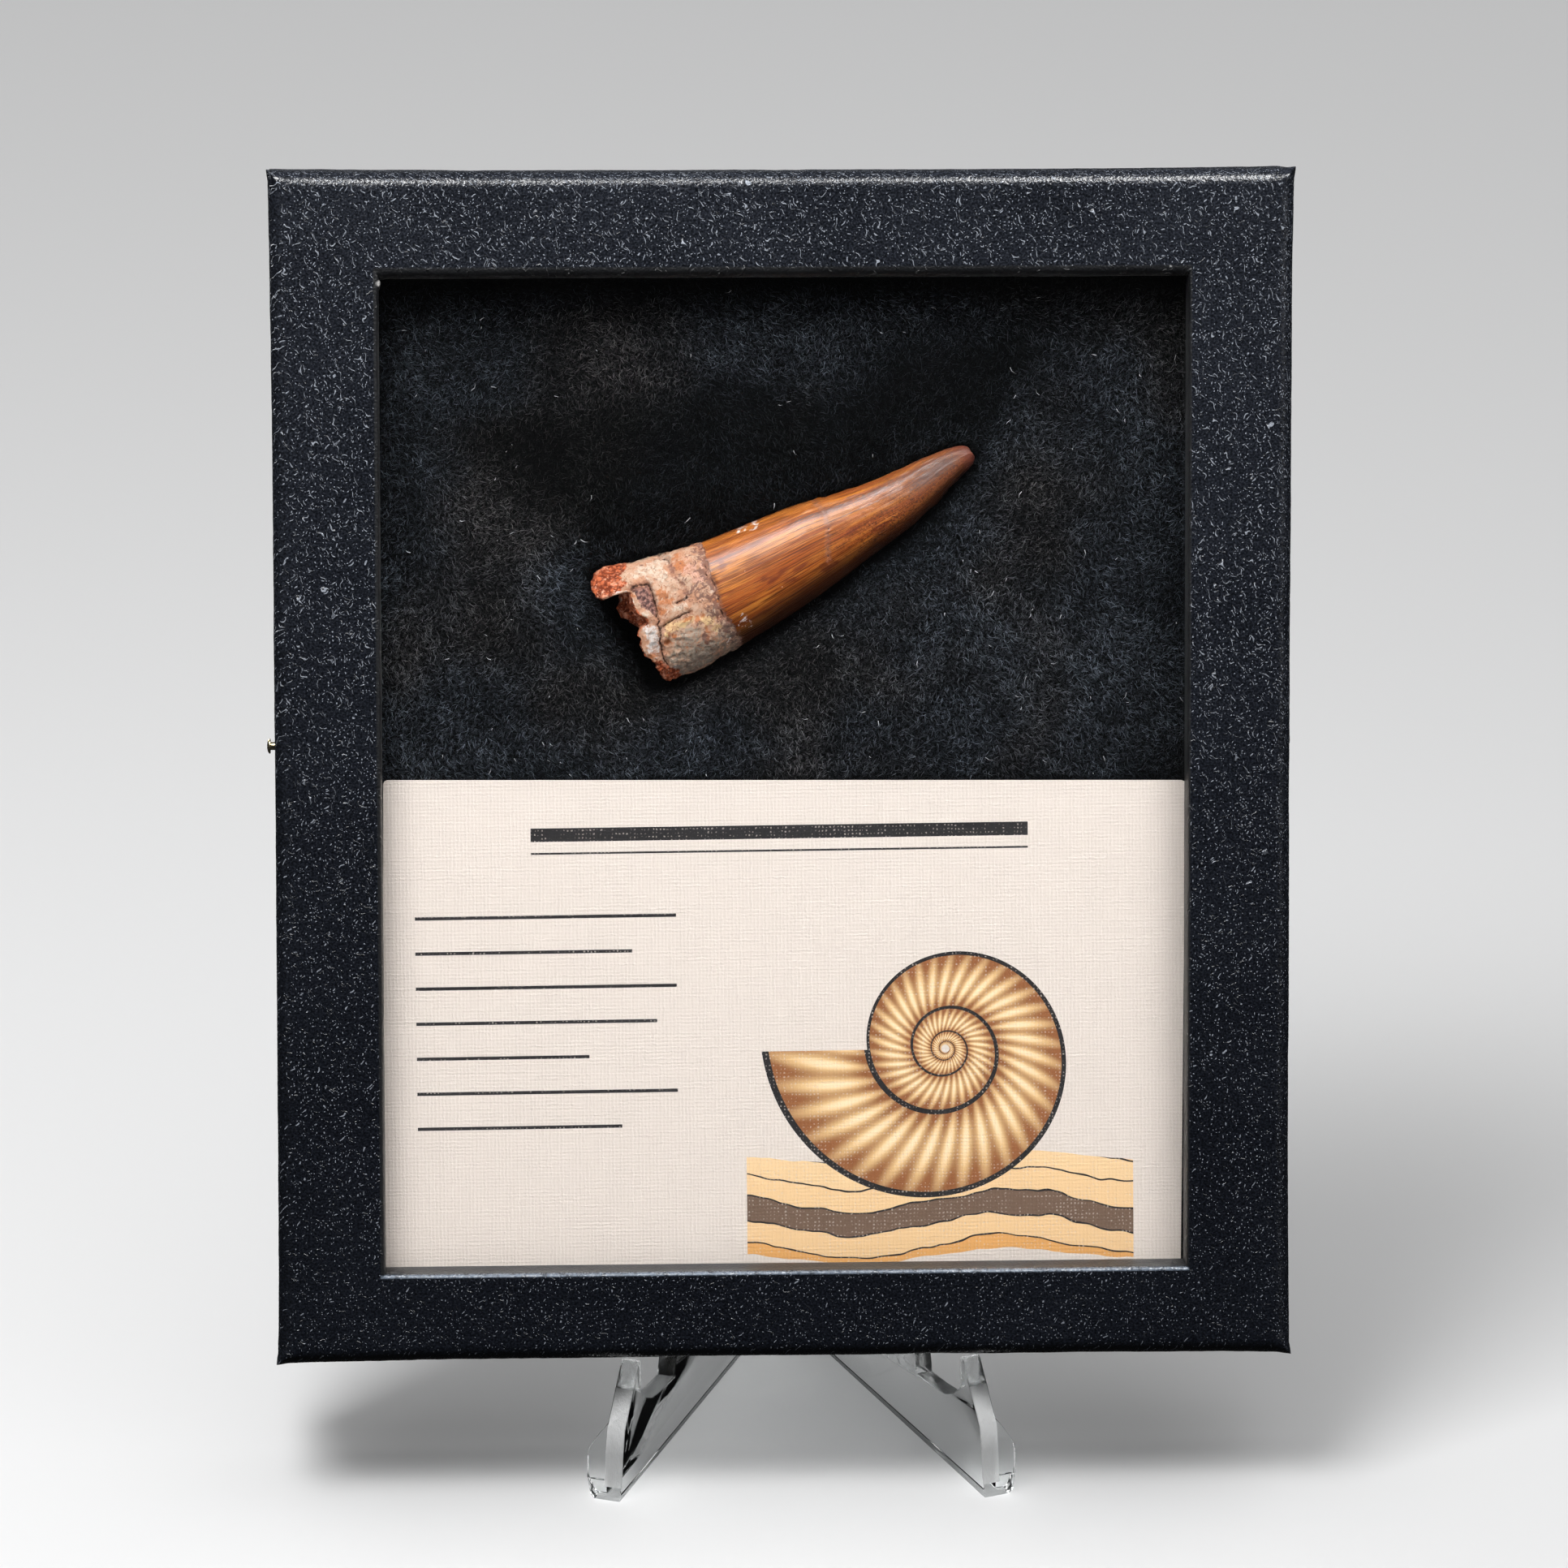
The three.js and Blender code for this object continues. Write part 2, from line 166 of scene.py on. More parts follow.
def grow_rings(name: str, rings: Sequence[np.ndarray], closed: bool) -> Piece:
    """Extrudes a loop of points through a row of rings.

    Args:
        name: The new object's name.
        rings: Point rows of equal length, one per ring.
        closed: Whether the last ring joins the first one.

    Returns:
        The new object, with its rings open or joined end to end.
    """
    bpy.ops.object.select_all(action="DESELECT")
    bpy.ops.mesh.primitive_circle_add(vertices=len(rings[0]), radius=1.0, fill_type="NOTHING")
    piece = bpy.context.object
    piece.name = piece.data.name = name
    move_points(piece, rings[0])
    with editing(piece):
        mesh = bmesh.from_edit_mesh(piece.data)
        layer = mesh.verts.layers.int.new("place")
        for vert in mesh.verts:
            vert[layer] = vert.index
        bmesh.update_edit_mesh(piece.data)
        select_mesh()
        for ring in rings[1:]:
            bpy.ops.mesh.extrude_edges_move()
            mesh = bmesh.from_edit_mesh(piece.data)
            layer = mesh.verts.layers.int["place"]
            for vert in mesh.verts:
                if vert.select:
                    vert.co = ring[vert[layer]]
            bmesh.update_edit_mesh(piece.data)
        if closed:
            select_mesh()
            bpy.ops.mesh.remove_doubles(threshold=1e-4)
    return piece


def face_outwards(piece: Piece) -> None:
    """Turns every face of a closed shell outwards."""
    with editing(piece):
        select_mesh()
        bpy.ops.mesh.normals_make_consistent(inside=False)


def merged_copy(node: str, name: str) -> Piece:
    """A copy of a CAD node with its loose triangles joined and its flats whole."""
    piece = bpy.data.objects.new(name, bpy.data.objects[node].data.copy())
    piece.data.name = name
    bpy.context.scene.collection.objects.link(piece)
    with editing(piece):
        select_mesh()
        bpy.ops.mesh.remove_doubles(threshold=1e-6)
        bpy.ops.mesh.dissolve_limited(angle_limit=math.radians(0.6))
        bpy.ops.mesh.normals_make_consistent(inside=False)
    return piece


def settle(piece: Piece, matrix: Matrix | None, smooth: float | None) -> None:
    """Brings a modelled piece to its place, with its object left at the origin.

    Args:
        piece: The piece, modelled in millimetres where a matrix is given.
        matrix: From the modelling frame to the row frame.
        smooth: Angle in degrees below which edges are shaded smooth.
    """
    select_only(piece)
    if matrix is not None:
        piece.matrix_world = matrix
        bpy.ops.object.transform_apply(location=True, rotation=True, scale=True)
    if smooth is not None:
        bpy.ops.object.shade_smooth_by_angle(angle=math.radians(smooth))


def dress(piece: Piece, slot: str, *finishes: Finish) -> None:
    """Gives a piece its materials and its body."""
    piece.data.materials.clear()
    for finish in finishes:
        piece.data.materials.append(finish)
    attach(piece, BODY)
    LOG.info("%s: %d faces", piece.name, len(piece.data.polygons))


# --- numbers


def columns(*values: np.ndarray) -> np.ndarray:
    """Some rows of numbers side by side, one column each."""
    return np.stack(values, axis=1)


def lattice_noise(points: np.ndarray, seed: int) -> np.ndarray:
    """Smooth noise from -1 to 1.

    Args:
        points: Places in cells, one row each, of two or three numbers.
        seed: Which of many patterns.

    Returns:
        One number for each place.
    """
    cell = np.floor(points).astype(np.int64)
    part = points - cell
    ease = part**3 * (part * (part * 6 - 15) + 10)
    total = np.zeros(len(points))
    for corner in itertools.product((0, 1), repeat=points.shape[1]):
        weight = np.ones(len(points))
        key = np.full(len(points), seed * 7919 + 17, np.int64)
        for axis, step in enumerate(corner):
            weight *= ease[:, axis] if step else 1 - ease[:, axis]
            key = (key * 1664525 + (cell[:, axis] + step) * 22695477 + 1013904223) & 0xFFFFFFFF
            key ^= key >> 15
        key = (key * 2246822519) & 0xFFFFFFFF
        key ^= key >> 13
        total += weight * ((key & 0xFFFF) / 32767.5 - 1)
    return total


def layered_noise(points: np.ndarray, size: float, octaves: int, seed: int) -> np.ndarray:
    """Noise with finer and weaker layers, its largest lumps `size` across."""
    total, share = np.zeros(len(points)), 0.0
    for layer in range(octaves):
        total += lattice_noise(points * 2**layer / size + 31.7 * layer, seed + layer) / 2**layer
        share += 1 / 2**layer
    return total / share


def nearest_seat(points: np.ndarray, size: float, seed: int) -> tuple[np.ndarray, np.ndarray]:
    """Seats scattered one to a cell.

    Args:
        points: Places, one row each.
        size: How far apart the seats lie.
        seed: Which of many patterns.

    Returns:
        The distance to the nearest seat in cells, and that seat's own number from -1 to 1.
    """
    cell = np.floor(points / size).astype(np.int64)
    nearest, lot = np.full(len(points), 9.0), np.zeros(len(points))
    for step in itertools.product((-1, 0, 1), repeat=points.shape[1]):
        other = cell + np.array(step)
        lots = [lattice_noise(other + 0.0, seed + 100 * axis) for axis in range(points.shape[1])]
        seat = columns(*lots)
        distance = np.linalg.norm(points / size - other - 0.5 - 0.42 * seat, axis=1)
        lot = np.where(distance < nearest, seat[:, 0], lot)
        nearest = np.minimum(nearest, distance)
    return nearest, lot


def grain_noise(points: np.ndarray, size: float, seed: int) -> np.ndarray:
    """Rounded grains `size` apart, 1 at their middles and 0 in the creases."""
    return 1 - np.clip(nearest_seat(points, size, seed)[0] / 0.85, 0, 1) ** 2


def ease_step(value: np.ndarray, low: float, high: float) -> np.ndarray:
    """Rises smoothly from 0 at `low` to 1 at `high`."""
    t = np.clip((value - low) / (high - low), 0, 1)
    return t * t * (3 - 2 * t)


def bell(value: np.ndarray, middle: float, reach: float) -> np.ndarray:
    """1 at the middle, falling off on both sides within about twice the reach."""
    return np.exp(-(((value - middle) / reach) ** 2))


def line_distance(points: np.ndarray, line: Line) -> np.ndarray:
    """Distance from flat points to a line of straight stretches."""
    ends = np.array(line, float)
    best = np.full(len(points), 1e9)
    for a, b in zip(ends[:-1], ends[1:]):
        along = b - a
        t = np.clip((points - a) @ along / (along @ along), 0, 1)
        best = np.minimum(best, np.hypot(*(points - a - t[:, None] * along).T))
    return best


def area_distance(points: np.ndarray, outline: Line) -> np.ndarray:
    """Signed distance from flat points to an outline, below zero inside."""
    ends = np.array([*outline, outline[0]], float)
    inside = np.zeros(len(points), bool)
    for (ax, ay), (bx, by) in zip(ends[:-1], ends[1:]):
        crosses = (ay > points[:, 1]) != (by > points[:, 1])
        if by != ay:
            at = ax + (points[:, 1] - ay) * (bx - ax) / (by - ay)
            inside ^= crosses & (points[:, 0] < at)
    distance = line_distance(points, [tuple(p) for p in ends])
    return np.where(inside, -distance, distance)


# --- nodes


class Graph:
    """A shader node tree with short ways to add nodes and join them."""

    def __init__(self, tree: bpy.types.NodeTree) -> None:
        """Starts from an empty tree."""
        self.tree = tree
        tree.nodes.clear()

    def add(self, kind: str, inputs: Inputs | None = None, **settings: object) -> bpy.types.Node:
        """Adds a node.

        Args:
            kind: The node's type name after "ShaderNode".
            inputs: Values or sockets for its inputs.
            settings: Properties of the node.

        Returns:
            The new node.
        """
        node = self.tree.nodes.new(f"ShaderNode{kind}")
        for name, value in settings.items():
            setattr(node, name, value)
        for name, value in (inputs or {}).items():
            self.feed(node.inputs[name], value)
        return node

    def feed(self, socket: Socket, value: Value) -> None:
        """Joins a socket to another, or sets its own value."""
        if isinstance(value, Socket):
            self.tree.links.new(value, socket)
        else:
            socket.default_value = value

    def math(self, operation: str, a: Value, b: Value = 0.0, c: Value = 0.0) -> Socket:
        """One step of arithmetic."""
        return self.add("Math", {0: a, 1: b, 2: c}, operation=operation).outputs[0]

    def chain(self, operation: str, parts: Sequence[Value]) -> Socket:
        """The same arithmetic over a row of numbers, from the first on."""
        return functools.reduce(lambda total, part: self.math(operation, total, part), parts)

    def times(self, *parts: Value) -> Socket:
        """The product of some numbers."""
        return self.chain("MULTIPLY", parts)

    def plus(self, *parts: Value) -> Socket:
        """The sum of some numbers."""
        return self.chain("ADD", parts)

    def most(self, *parts: Value) -> Socket:
        """The largest of some numbers."""
        return self.chain("MAXIMUM", parts)

    def sway(self, value: Value, amount: float) -> Socket:
        """Turns a noise around one half into a swing about zero."""
        return self.times(self.math("SUBTRACT", value, 0.5), amount)

    def span(self, value: Value, low: float, high: float, to: Range = (0.0, 1.0)) -> Socket:
        """Eases a value from one range into another."""
        inputs = {"Value": value, "From Min": low, "From Max": high, "To Min": to[0], "To Max": to[1]}
        return self.add("MapRange", inputs, interpolation_type="SMOOTHSTEP").outputs[0]

    def fall(self, value: Value, low: float, high: float) -> Socket:
        """Eases from 1 at `low` down to 0 at `high`."""
        return self.span(value, low, high, (1.0, 0.0))

    def mix(self, share: Value, a: Value, b: Value) -> Socket:
        """Blends two colours."""
        return self.add("Mix", {0: share, 6: a, 7: b}, data_type="RGBA").outputs[2]

    def blend(self, share: Value, a: Value, b: Value) -> Socket:
        """Blends two numbers."""
        return self.add("Mix", {0: share, 2: a, 3: b}, data_type="FLOAT").outputs[0]

    def noise(self, at: Value, scale: Value, detail: float, rough: float = 0.5, bend: float = 0.0) -> Socket:
        """Smooth noise around one half."""
        inputs = {"Vector": at, "Scale": scale, "Detail": detail, "Roughness": rough, "Distortion": bend}
        return self.add("TexNoise", inputs).outputs[0]

    def cells(self, at: Value, scale: float, feature: str) -> Socket:
        """Distance within scattered cells."""
        return self.add("TexVoronoi", {"Vector": at, "Scale": scale}, feature=feature).outputs["Distance"]

    def warp(self, at: Value, scale: float, amount: float, detail: float = 2.0) -> Socket:
        """Coordinates pushed about by noise."""
        stir = self.add("TexNoise", {"Vector": at, "Scale": scale, "Detail": detail}).outputs["Color"]
        centred = self.add("VectorMath", {0: stir, 1: (0.5, 0.5, 0.5)}, operation="SUBTRACT").outputs[0]
        scaled = self.add("VectorMath", {0: centred, 3: amount}, operation="SCALE").outputs[0]
        return self.add("VectorMath", {0: at, 1: scaled}, operation="ADD").outputs[0]

    def stretch(self, at: Value, scale: Sequence[float]) -> Socket:
        """Coordinates drawn out along their axes."""
        return self.add("Mapping", {"Vector": at, "Scale": scale}).outputs[0]

    def millimetres(self) -> Socket:
        """The row frame's coordinates in millimetres."""
        return self.stretch(self.add("TexCoord").outputs["Object"], (1 / MM,) * 3)

    def attribute(self, name: str) -> Socket:
        """A number kept on the mesh."""
        return self.add("Attribute", attribute_name=name).outputs["Fac"]

    def bump(self, height: Value, depth: float) -> Socket:
        """A normal from a height of 0 to 1 over a depth in metres."""
        return self.add("Bump", {"Height": height, "Strength": 1.0, "Distance": depth}).outputs[0]


class Effect(Enum):
    """Shared effects, each built once."""

    MOTTLE = "patchy tone"
    SPECKS = "scattered specks"


class EffectShelf:
    """Keeps the shared effects for every finish."""

    def __init__(self) -> None:
        """Builds each effect."""
        self.groups = {Effect.MOTTLE: self._build_mottle(), Effect.SPECKS: self._build_specks()}

    def _open(self, effect: Effect, numbers: Sequence[tuple[str, float]]) -> tuple[Graph, dict[str, Socket]]:
        """A new group with a vector input, number inputs and one value out."""
        tree = bpy.data.node_groups.new(effect.value, "ShaderNodeTree")
        tree.interface.new_socket("Vector", in_out="INPUT", socket_type="NodeSocketVector")
        for name, value in numbers:
            socket = tree.interface.new_socket(name, in_out="INPUT", socket_type="NodeSocketFloat")
            socket.default_value = value
        tree.interface.new_socket("Value", in_out="OUTPUT", socket_type="NodeSocketFloat")
        graph = Graph(tree)
        entry = tree.nodes.new("NodeGroupInput")
        return graph, {socket.name: socket for socket in entry.outputs if socket.name}

    def _close(self, graph: Graph, value: Socket) -> bpy.types.NodeTree:
        """Joins the group's result to its output."""
        leave = graph.tree.nodes.new("NodeGroupOutput")
        graph.tree.links.new(value, leave.inputs[0])
        return graph.tree

    def _build_mottle(self) -> bpy.types.NodeTree:
        """Uneven tone from broad patches and a finer layer."""
        graph, ends = self._open(Effect.MOTTLE, [("Coarse", 0.1), ("Fine", 1.0), ("Balance", 0.5)])
        broad = graph.noise(ends["Vector"], ends["Coarse"], 3.0)
        fine = graph.noise(ends["Vector"], ends["Fine"], 2.0)
        return self._close(graph, graph.span(graph.blend(ends["Balance"], broad, fine), 0.3, 0.7))

    def _build_specks(self) -> bpy.types.NodeTree:
        """Small scattered dots, one where a cell's own number is high."""
        graph, ends = self._open(Effect.SPECKS, [("Scale", 1.0), ("Size", 0.1), ("Share", 0.1)])
        dots = graph.add("TexVoronoi", {"Vector": ends["Vector"], "Scale": ends["Scale"]})
        draw = graph.add("SeparateColor", {0: dots.outputs["Color"]})
        chosen = graph.math("LESS_THAN", draw.outputs[0], ends["Share"])
        size = graph.times(ends["Size"], graph.plus(draw.outputs[1], 0.3))
        near = graph.math("LESS_THAN", dots.outputs["Distance"], size)
        return self._close(graph, graph.times(chosen, near))

    def _place(self, effect: Effect, graph: Graph, inputs: dict[str, Value]) -> Socket:
        """Places a shared effect with its own values."""
        node = graph.add("Group", node_tree=self.groups[effect])
        for name, value in inputs.items():
            graph.feed(node.inputs[name], value)
        return node.outputs[0]

    def mottle(self, graph: Graph, at: Value, coarse: float, fine: float, balance: float) -> Socket:
        """Uneven tone from 0 to 1."""
        inputs = {"Vector": at, "Coarse": coarse, "Fine": fine, "Balance": balance}
        return self._place(Effect.MOTTLE, graph, inputs)

    def specks(self, graph: Graph, at: Value, scale: float, size: float, share: float) -> Socket:
        """Scattered dots, 1 inside a dot."""
        return self._place(Effect.SPECKS, graph, {"Vector": at, "Scale": scale, "Size": size, "Share": share})


@dataclass(frozen=True)
class BoxPose:
    """Where the specimen box leans on the easel, in millimetres and radians."""

    foot: Place = (0.0, -40.488, 18.7)
    lean: float = math.radians(15.0)

    def matrix(self) -> Matrix:
        """From the box's millimetres (across, depth, up the face) to the row frame."""
        place = Matrix.Translation(Vector(self.foot) * MM)
        return place @ Matrix.Rotation(-self.lean, 4, "X") @ Matrix.Scale(MM, 4)

    def coordinates(self, graph: Graph) -> Socket:
        """Shader coordinates in the box's millimetres."""
        place = graph.add("TexCoord").outputs["Object"]
        y, z = -self.foot[1], -self.foot[2]
        turned = (
            -self.foot[0],
            y * math.cos(self.lean) - z * math.sin(self.lean),
            y * math.sin(self.lean) + z * math.cos(self.lean),
        )
        inputs = {"Vector": place, "Location": turned, "Rotation": (self.lean, 0.0, 0.0)}
        return graph.add("Mapping", inputs | {"Scale": (1 / MM,) * 3}).outputs[0]


def new_finish(name: str) -> tuple[Finish, Graph]:
    """An empty node material and its graph."""
    material = bpy.data.materials.new(name)
    material.use_nodes = True
    return material, Graph(material.node_tree)


def principled(graph: Graph, **inputs: Value) -> Socket:
    """A Principled shader; underscores in input names stand for spaces."""
    named = {name.replace("_", " "): value for name, value in inputs.items()}
    return graph.add("BsdfPrincipled", named).outputs[0]


def show(graph: Graph, shader: Socket) -> None:
    """Joins a shader to the material's output."""
    graph.add("OutputMaterial", {"Surface": shader})


def let_light_through(graph: Graph, glass: Socket, tint: Colour) -> Socket:
    """Glass that casts the pale shadow of clear stock.

    Args:
        graph: The material's graph.
        glass: The glass shader.
        tint: Share of lamp light that passes.

    Returns:
        The mixed shader.
    """
    passing = graph.add("BsdfTransparent", {"Color": tint}).outputs[0]
    shadow = graph.add("LightPath").outputs["Is Shadow Ray"]
    return graph.add("MixShader", {0: shadow, 1: glass, 2: passing}).outputs[0]


# --- finishes


@dataclass(frozen=True)
class StrokeLayer:
    """One layer of raised strokes, each in a cell of its own, in millimetres and radians."""

    turn: float
    width: float
    length: float
    share: float
    thick: float

    @property
    def drawn_out(self) -> bool:
        """Whether the layer holds strokes and not dots."""
        return self.length > 1.0

    def mask(self, graph: Graph, at: Value) -> Socket:
        """The layer's strokes, 1 on their crests, in the share of its cells that is kept."""
        inputs = {"Vector": at, "Rotation": (0.0, 0.0, -self.turn), "Scale": (self.width, self.length, 1.0)}
        drawn = graph.add("Mapping", inputs, vector_type="TEXTURE").outputs[0]
        dots = graph.add("TexVoronoi", {"Vector": drawn, "Scale": 1.0}, voronoi_dimensions="2D")
        lot = graph.add("SeparateColor", {0: dots.outputs["Color"]}).outputs[0]
        kept = graph.fall(lot, self.share * 0.6, self.share)
        return graph.times(graph.fall(dots.outputs["Distance"], 0.06, self.thick), kept)


@dataclass(frozen=True)
class Leatherette:
    """Black embossed paper that covers the lid."""

    pose: BoxPose
    shelf: EffectShelf
    dark: Colour = (0.003, 0.0036, 0.0052, 1)
    light: Colour = (0.023, 0.027, 0.038, 1)
    painted_foot_shade: Colour = (0.011, 0.0135, 0.021, 1)
    crest_glint: Colour = (0.36, 0.39, 0.45, 1)
    painted_sill_highlight: Colour = (0.20, 0.24, 0.30, 1)
    glint: Colour = (0.75, 0.74, 0.72, 1)
    nub: Place = (-50.0, 0.45, 134.5)
    half_mouth: Range = (50.3, 50.6)
    mouth_foot: Range = (10.9, 11.1)
    mouth_head: Range = (136.2, 136.6)
    relief: float = 0.00022
    layers: tuple[StrokeLayer, ...] = (
        StrokeLayer(turn=-0.48, width=0.56, length=3.6, share=0.44, thick=0.17),
        StrokeLayer(turn=-0.62, width=0.48, length=2.5, share=0.36, thick=0.18),
        StrokeLayer(turn=1.15, width=0.46, length=1.3, share=0.15, thick=0.22),
        StrokeLayer(turn=0.0, width=0.38, length=0.42, share=0.44, thick=0.30),
    )

    def _strokes(self, graph: Graph, at: Value, rise: Value) -> Tinted:
        """Every layer's marks, and those that stand up, both fainter towards the foot, which in their pale
        colour is painted shade.
        """
        loose = graph.add("SeparateXYZ", {0: graph.warp(at, 0.9, 0.85, 0.0)})
        spread = [graph.plus(loose.outputs[axis], loose.outputs[1]) for axis in (0, 2)]
        flat = graph.add("CombineXYZ", {0: spread[0], 1: spread[1]}).outputs[0]
        # painted shade: the pale colour of the strokes and dots dims towards the foot
        lit = graph.span(rise, 30.0, 118.0, (0.12, 1.0))
        dotted = graph.span(rise, 8.0, 24.0, (0.75, 0.95))
        marks: Value = 0.0
        ridges: Value = 0.0
        for layer in self.layers:
            shown = graph.times(layer.mask(graph, flat), lit if layer.drawn_out else dotted)
            marks = graph.most(marks, shown)
            ridges = marks if layer.drawn_out else ridges
        return marks, ridges

    def build(self) -> Finish:
        """A fine grain with short raised strokes, most of them leaning one way, with painted highlights and
        painted shade.
        """
        material, graph = new_finish("leatherette")
        at = self.pose.coordinates(graph)
        axes = graph.add("SeparateXYZ", {0: at})
        aside, rise = graph.math("ABSOLUTE", axes.outputs[0]), axes.outputs[2]
        window = graph.times(
            graph.fall(aside, *self.half_mouth), graph.span(rise, *self.mouth_foot),
            graph.fall(rise, *self.mouth_head),
        )
        marks, ridges = self._strokes(graph, at, rise)
        height = graph.plus(ridges, graph.times(graph.noise(at, 2.9, 1.0, 0.6), 0.38))
        tone = self.shelf.mottle(graph, at, 0.05, 3.6, 0.85)
        # painted shade: the base tone darkens from the top of the face down to the foot
        light = graph.mix(graph.span(rise, 8.0, 140.0), self.painted_foot_shade, self.light)
        colour = graph.mix(tone, self.dark, light)
        # painted highlight: the pale crest colour stands in for glints on the grain's crests
        colour = graph.mix(graph.span(marks, 0.25, 0.85, (0.0, 0.95)), colour, self.crest_glint)
        # painted shade: the window's inner walls are darkened
        wall_shade = graph.times(window, graph.span(rise, 11.3, 11.7))
        colour = graph.mix(wall_shade, colour, self.dark)
        # painted glint: a pale spot on the nub at the window's top left corner
        nub = graph.add("VectorMath", {0: at, 1: self.nub}, operation="DISTANCE").outputs["Value"]
        colour = graph.mix(graph.fall(nub, 0.3, 0.55), colour, self.glint)
        # painted highlight: a pale line along the sill's rolled edge, broken up by noise
        sill_breakup = graph.span(graph.noise(at, 1.4, 3.0), 0.3, 0.55, (0.25, 0.9))
        sill_highlight = graph.times(window, graph.span(rise, 11.5, 11.25), sill_breakup)
        colour = graph.mix(sill_highlight, colour, self.painted_sill_highlight)
        rough = graph.blend(wall_shade, graph.span(tone, 0.0, 1.0, (0.18, 0.29)), 0.45)
        show(graph, principled(
            graph, Base_Color=colour, Roughness=rough, Specular_IOR_Level=0.95,
            Normal=graph.bump(height, self.relief),
        ))
        return material


@dataclass(frozen=True)
class BlackBoard:
    """Matt black paper over card, on the tray."""

    pose: BoxPose
    shelf: EffectShelf
    dark: Colour = (0.013, 0.013, 0.014, 1)
    light: Colour = (0.032, 0.032, 0.034, 1)
    scuffed: Colour = (0.09, 0.085, 0.08, 1)
    relief: float = 0.00012

    def build(self) -> Finish:
        """Fibrous matt black with pale scuffs."""
        material, graph = new_finish("black_board")
        at = self.pose.coordinates(graph)
        tone = self.shelf.mottle(graph, at, 0.08, 1.8, 0.5)
        colour = graph.mix(tone, self.dark, self.light)
        colour = graph.mix(self.shelf.specks(graph, at, 0.35, 0.05, 0.3), colour, self.scuffed)
        show(graph, principled(
            graph, Base_Color=colour, Roughness=graph.span(tone, 0.0, 1.0, (0.62, 0.82)),
            Normal=graph.bump(graph.noise(at, 3.2, 4.0, 0.7), self.relief),
        ))
        return material


@dataclass(frozen=True)
class PaneGlass:
    """Thin clear glass of the window."""

    pose: BoxPose
    body: Colour = (0.99, 1.0, 0.995, 1)
    passing: Colour = (0.92, 0.93, 0.925, 1)
    waviness: float = 0.00002

    def build(self) -> Finish:
        """Clear glass with the faintest waviness."""
        material, graph = new_finish("pane_glass")
        wave = graph.noise(self.pose.coordinates(graph), 0.03, 1.0)
        glass = principled(
            graph, Base_Color=self.body, Roughness=0.0, IOR=1.5, Transmission_Weight=1.0,
            Normal=graph.bump(wave, self.waviness),
        )
        show(graph, let_light_through(graph, glass, self.passing))
        return material


class PlateFace(Enum):
    """The ways a clear plate's surface is left."""

    POLISHED = "clear_face"
    SAWN = "sawn_edge"
    FROSTED = "frosted_edge"


@dataclass(frozen=True)
class PlateCut:
    """What a way of cutting leaves: roughness from and to, relief in metres, and how clear it stays."""

    rough: Range
    relief: float
    clear: float


@dataclass(frozen=True)
class ClearPlastic:
    """Clear acrylic of the easel, polished, sawn or frosted."""

    face: PlateFace
    shelf: EffectShelf
    body: Colour = (0.975, 0.985, 0.985, 1)
    passing: Colour = (0.86, 0.87, 0.87, 1)

    def _cut(self) -> PlateCut:
        """What this face's way of cutting leaves."""
        return {
            PlateFace.POLISHED: PlateCut(rough=(0.0, 0.03), relief=0.00001, clear=1.0),
            PlateFace.SAWN: PlateCut(rough=(0.1, 0.22), relief=0.00005, clear=1.0),
            PlateFace.FROSTED: PlateCut(rough=(0.4, 0.55), relief=0.00012, clear=0.35),
        }[self.face]

    def build(self) -> Finish:
        """Clear stock whose surface follows how it was cut."""
        material, graph = new_finish(self.face.value)
        at, cut = graph.millimetres(), self._cut()
        tone = self.shelf.mottle(graph, at, 0.12, 1.6, 0.4)
        if self.face is PlateFace.POLISHED:
            height = graph.noise(at, 0.07, 2.0)
        else:
            height = graph.noise(graph.stretch(at, (2.2, 2.2, 0.5)), 1.4, 4.0, 0.65)
        glass = principled(
            graph, Base_Color=self.body, Roughness=graph.span(tone, 0.0, 1.0, cut.rough), IOR=1.49,
            Transmission_Weight=cut.clear, Normal=graph.bump(height, cut.relief),
        )
        show(graph, let_light_through(graph, glass, self.passing))
        return material


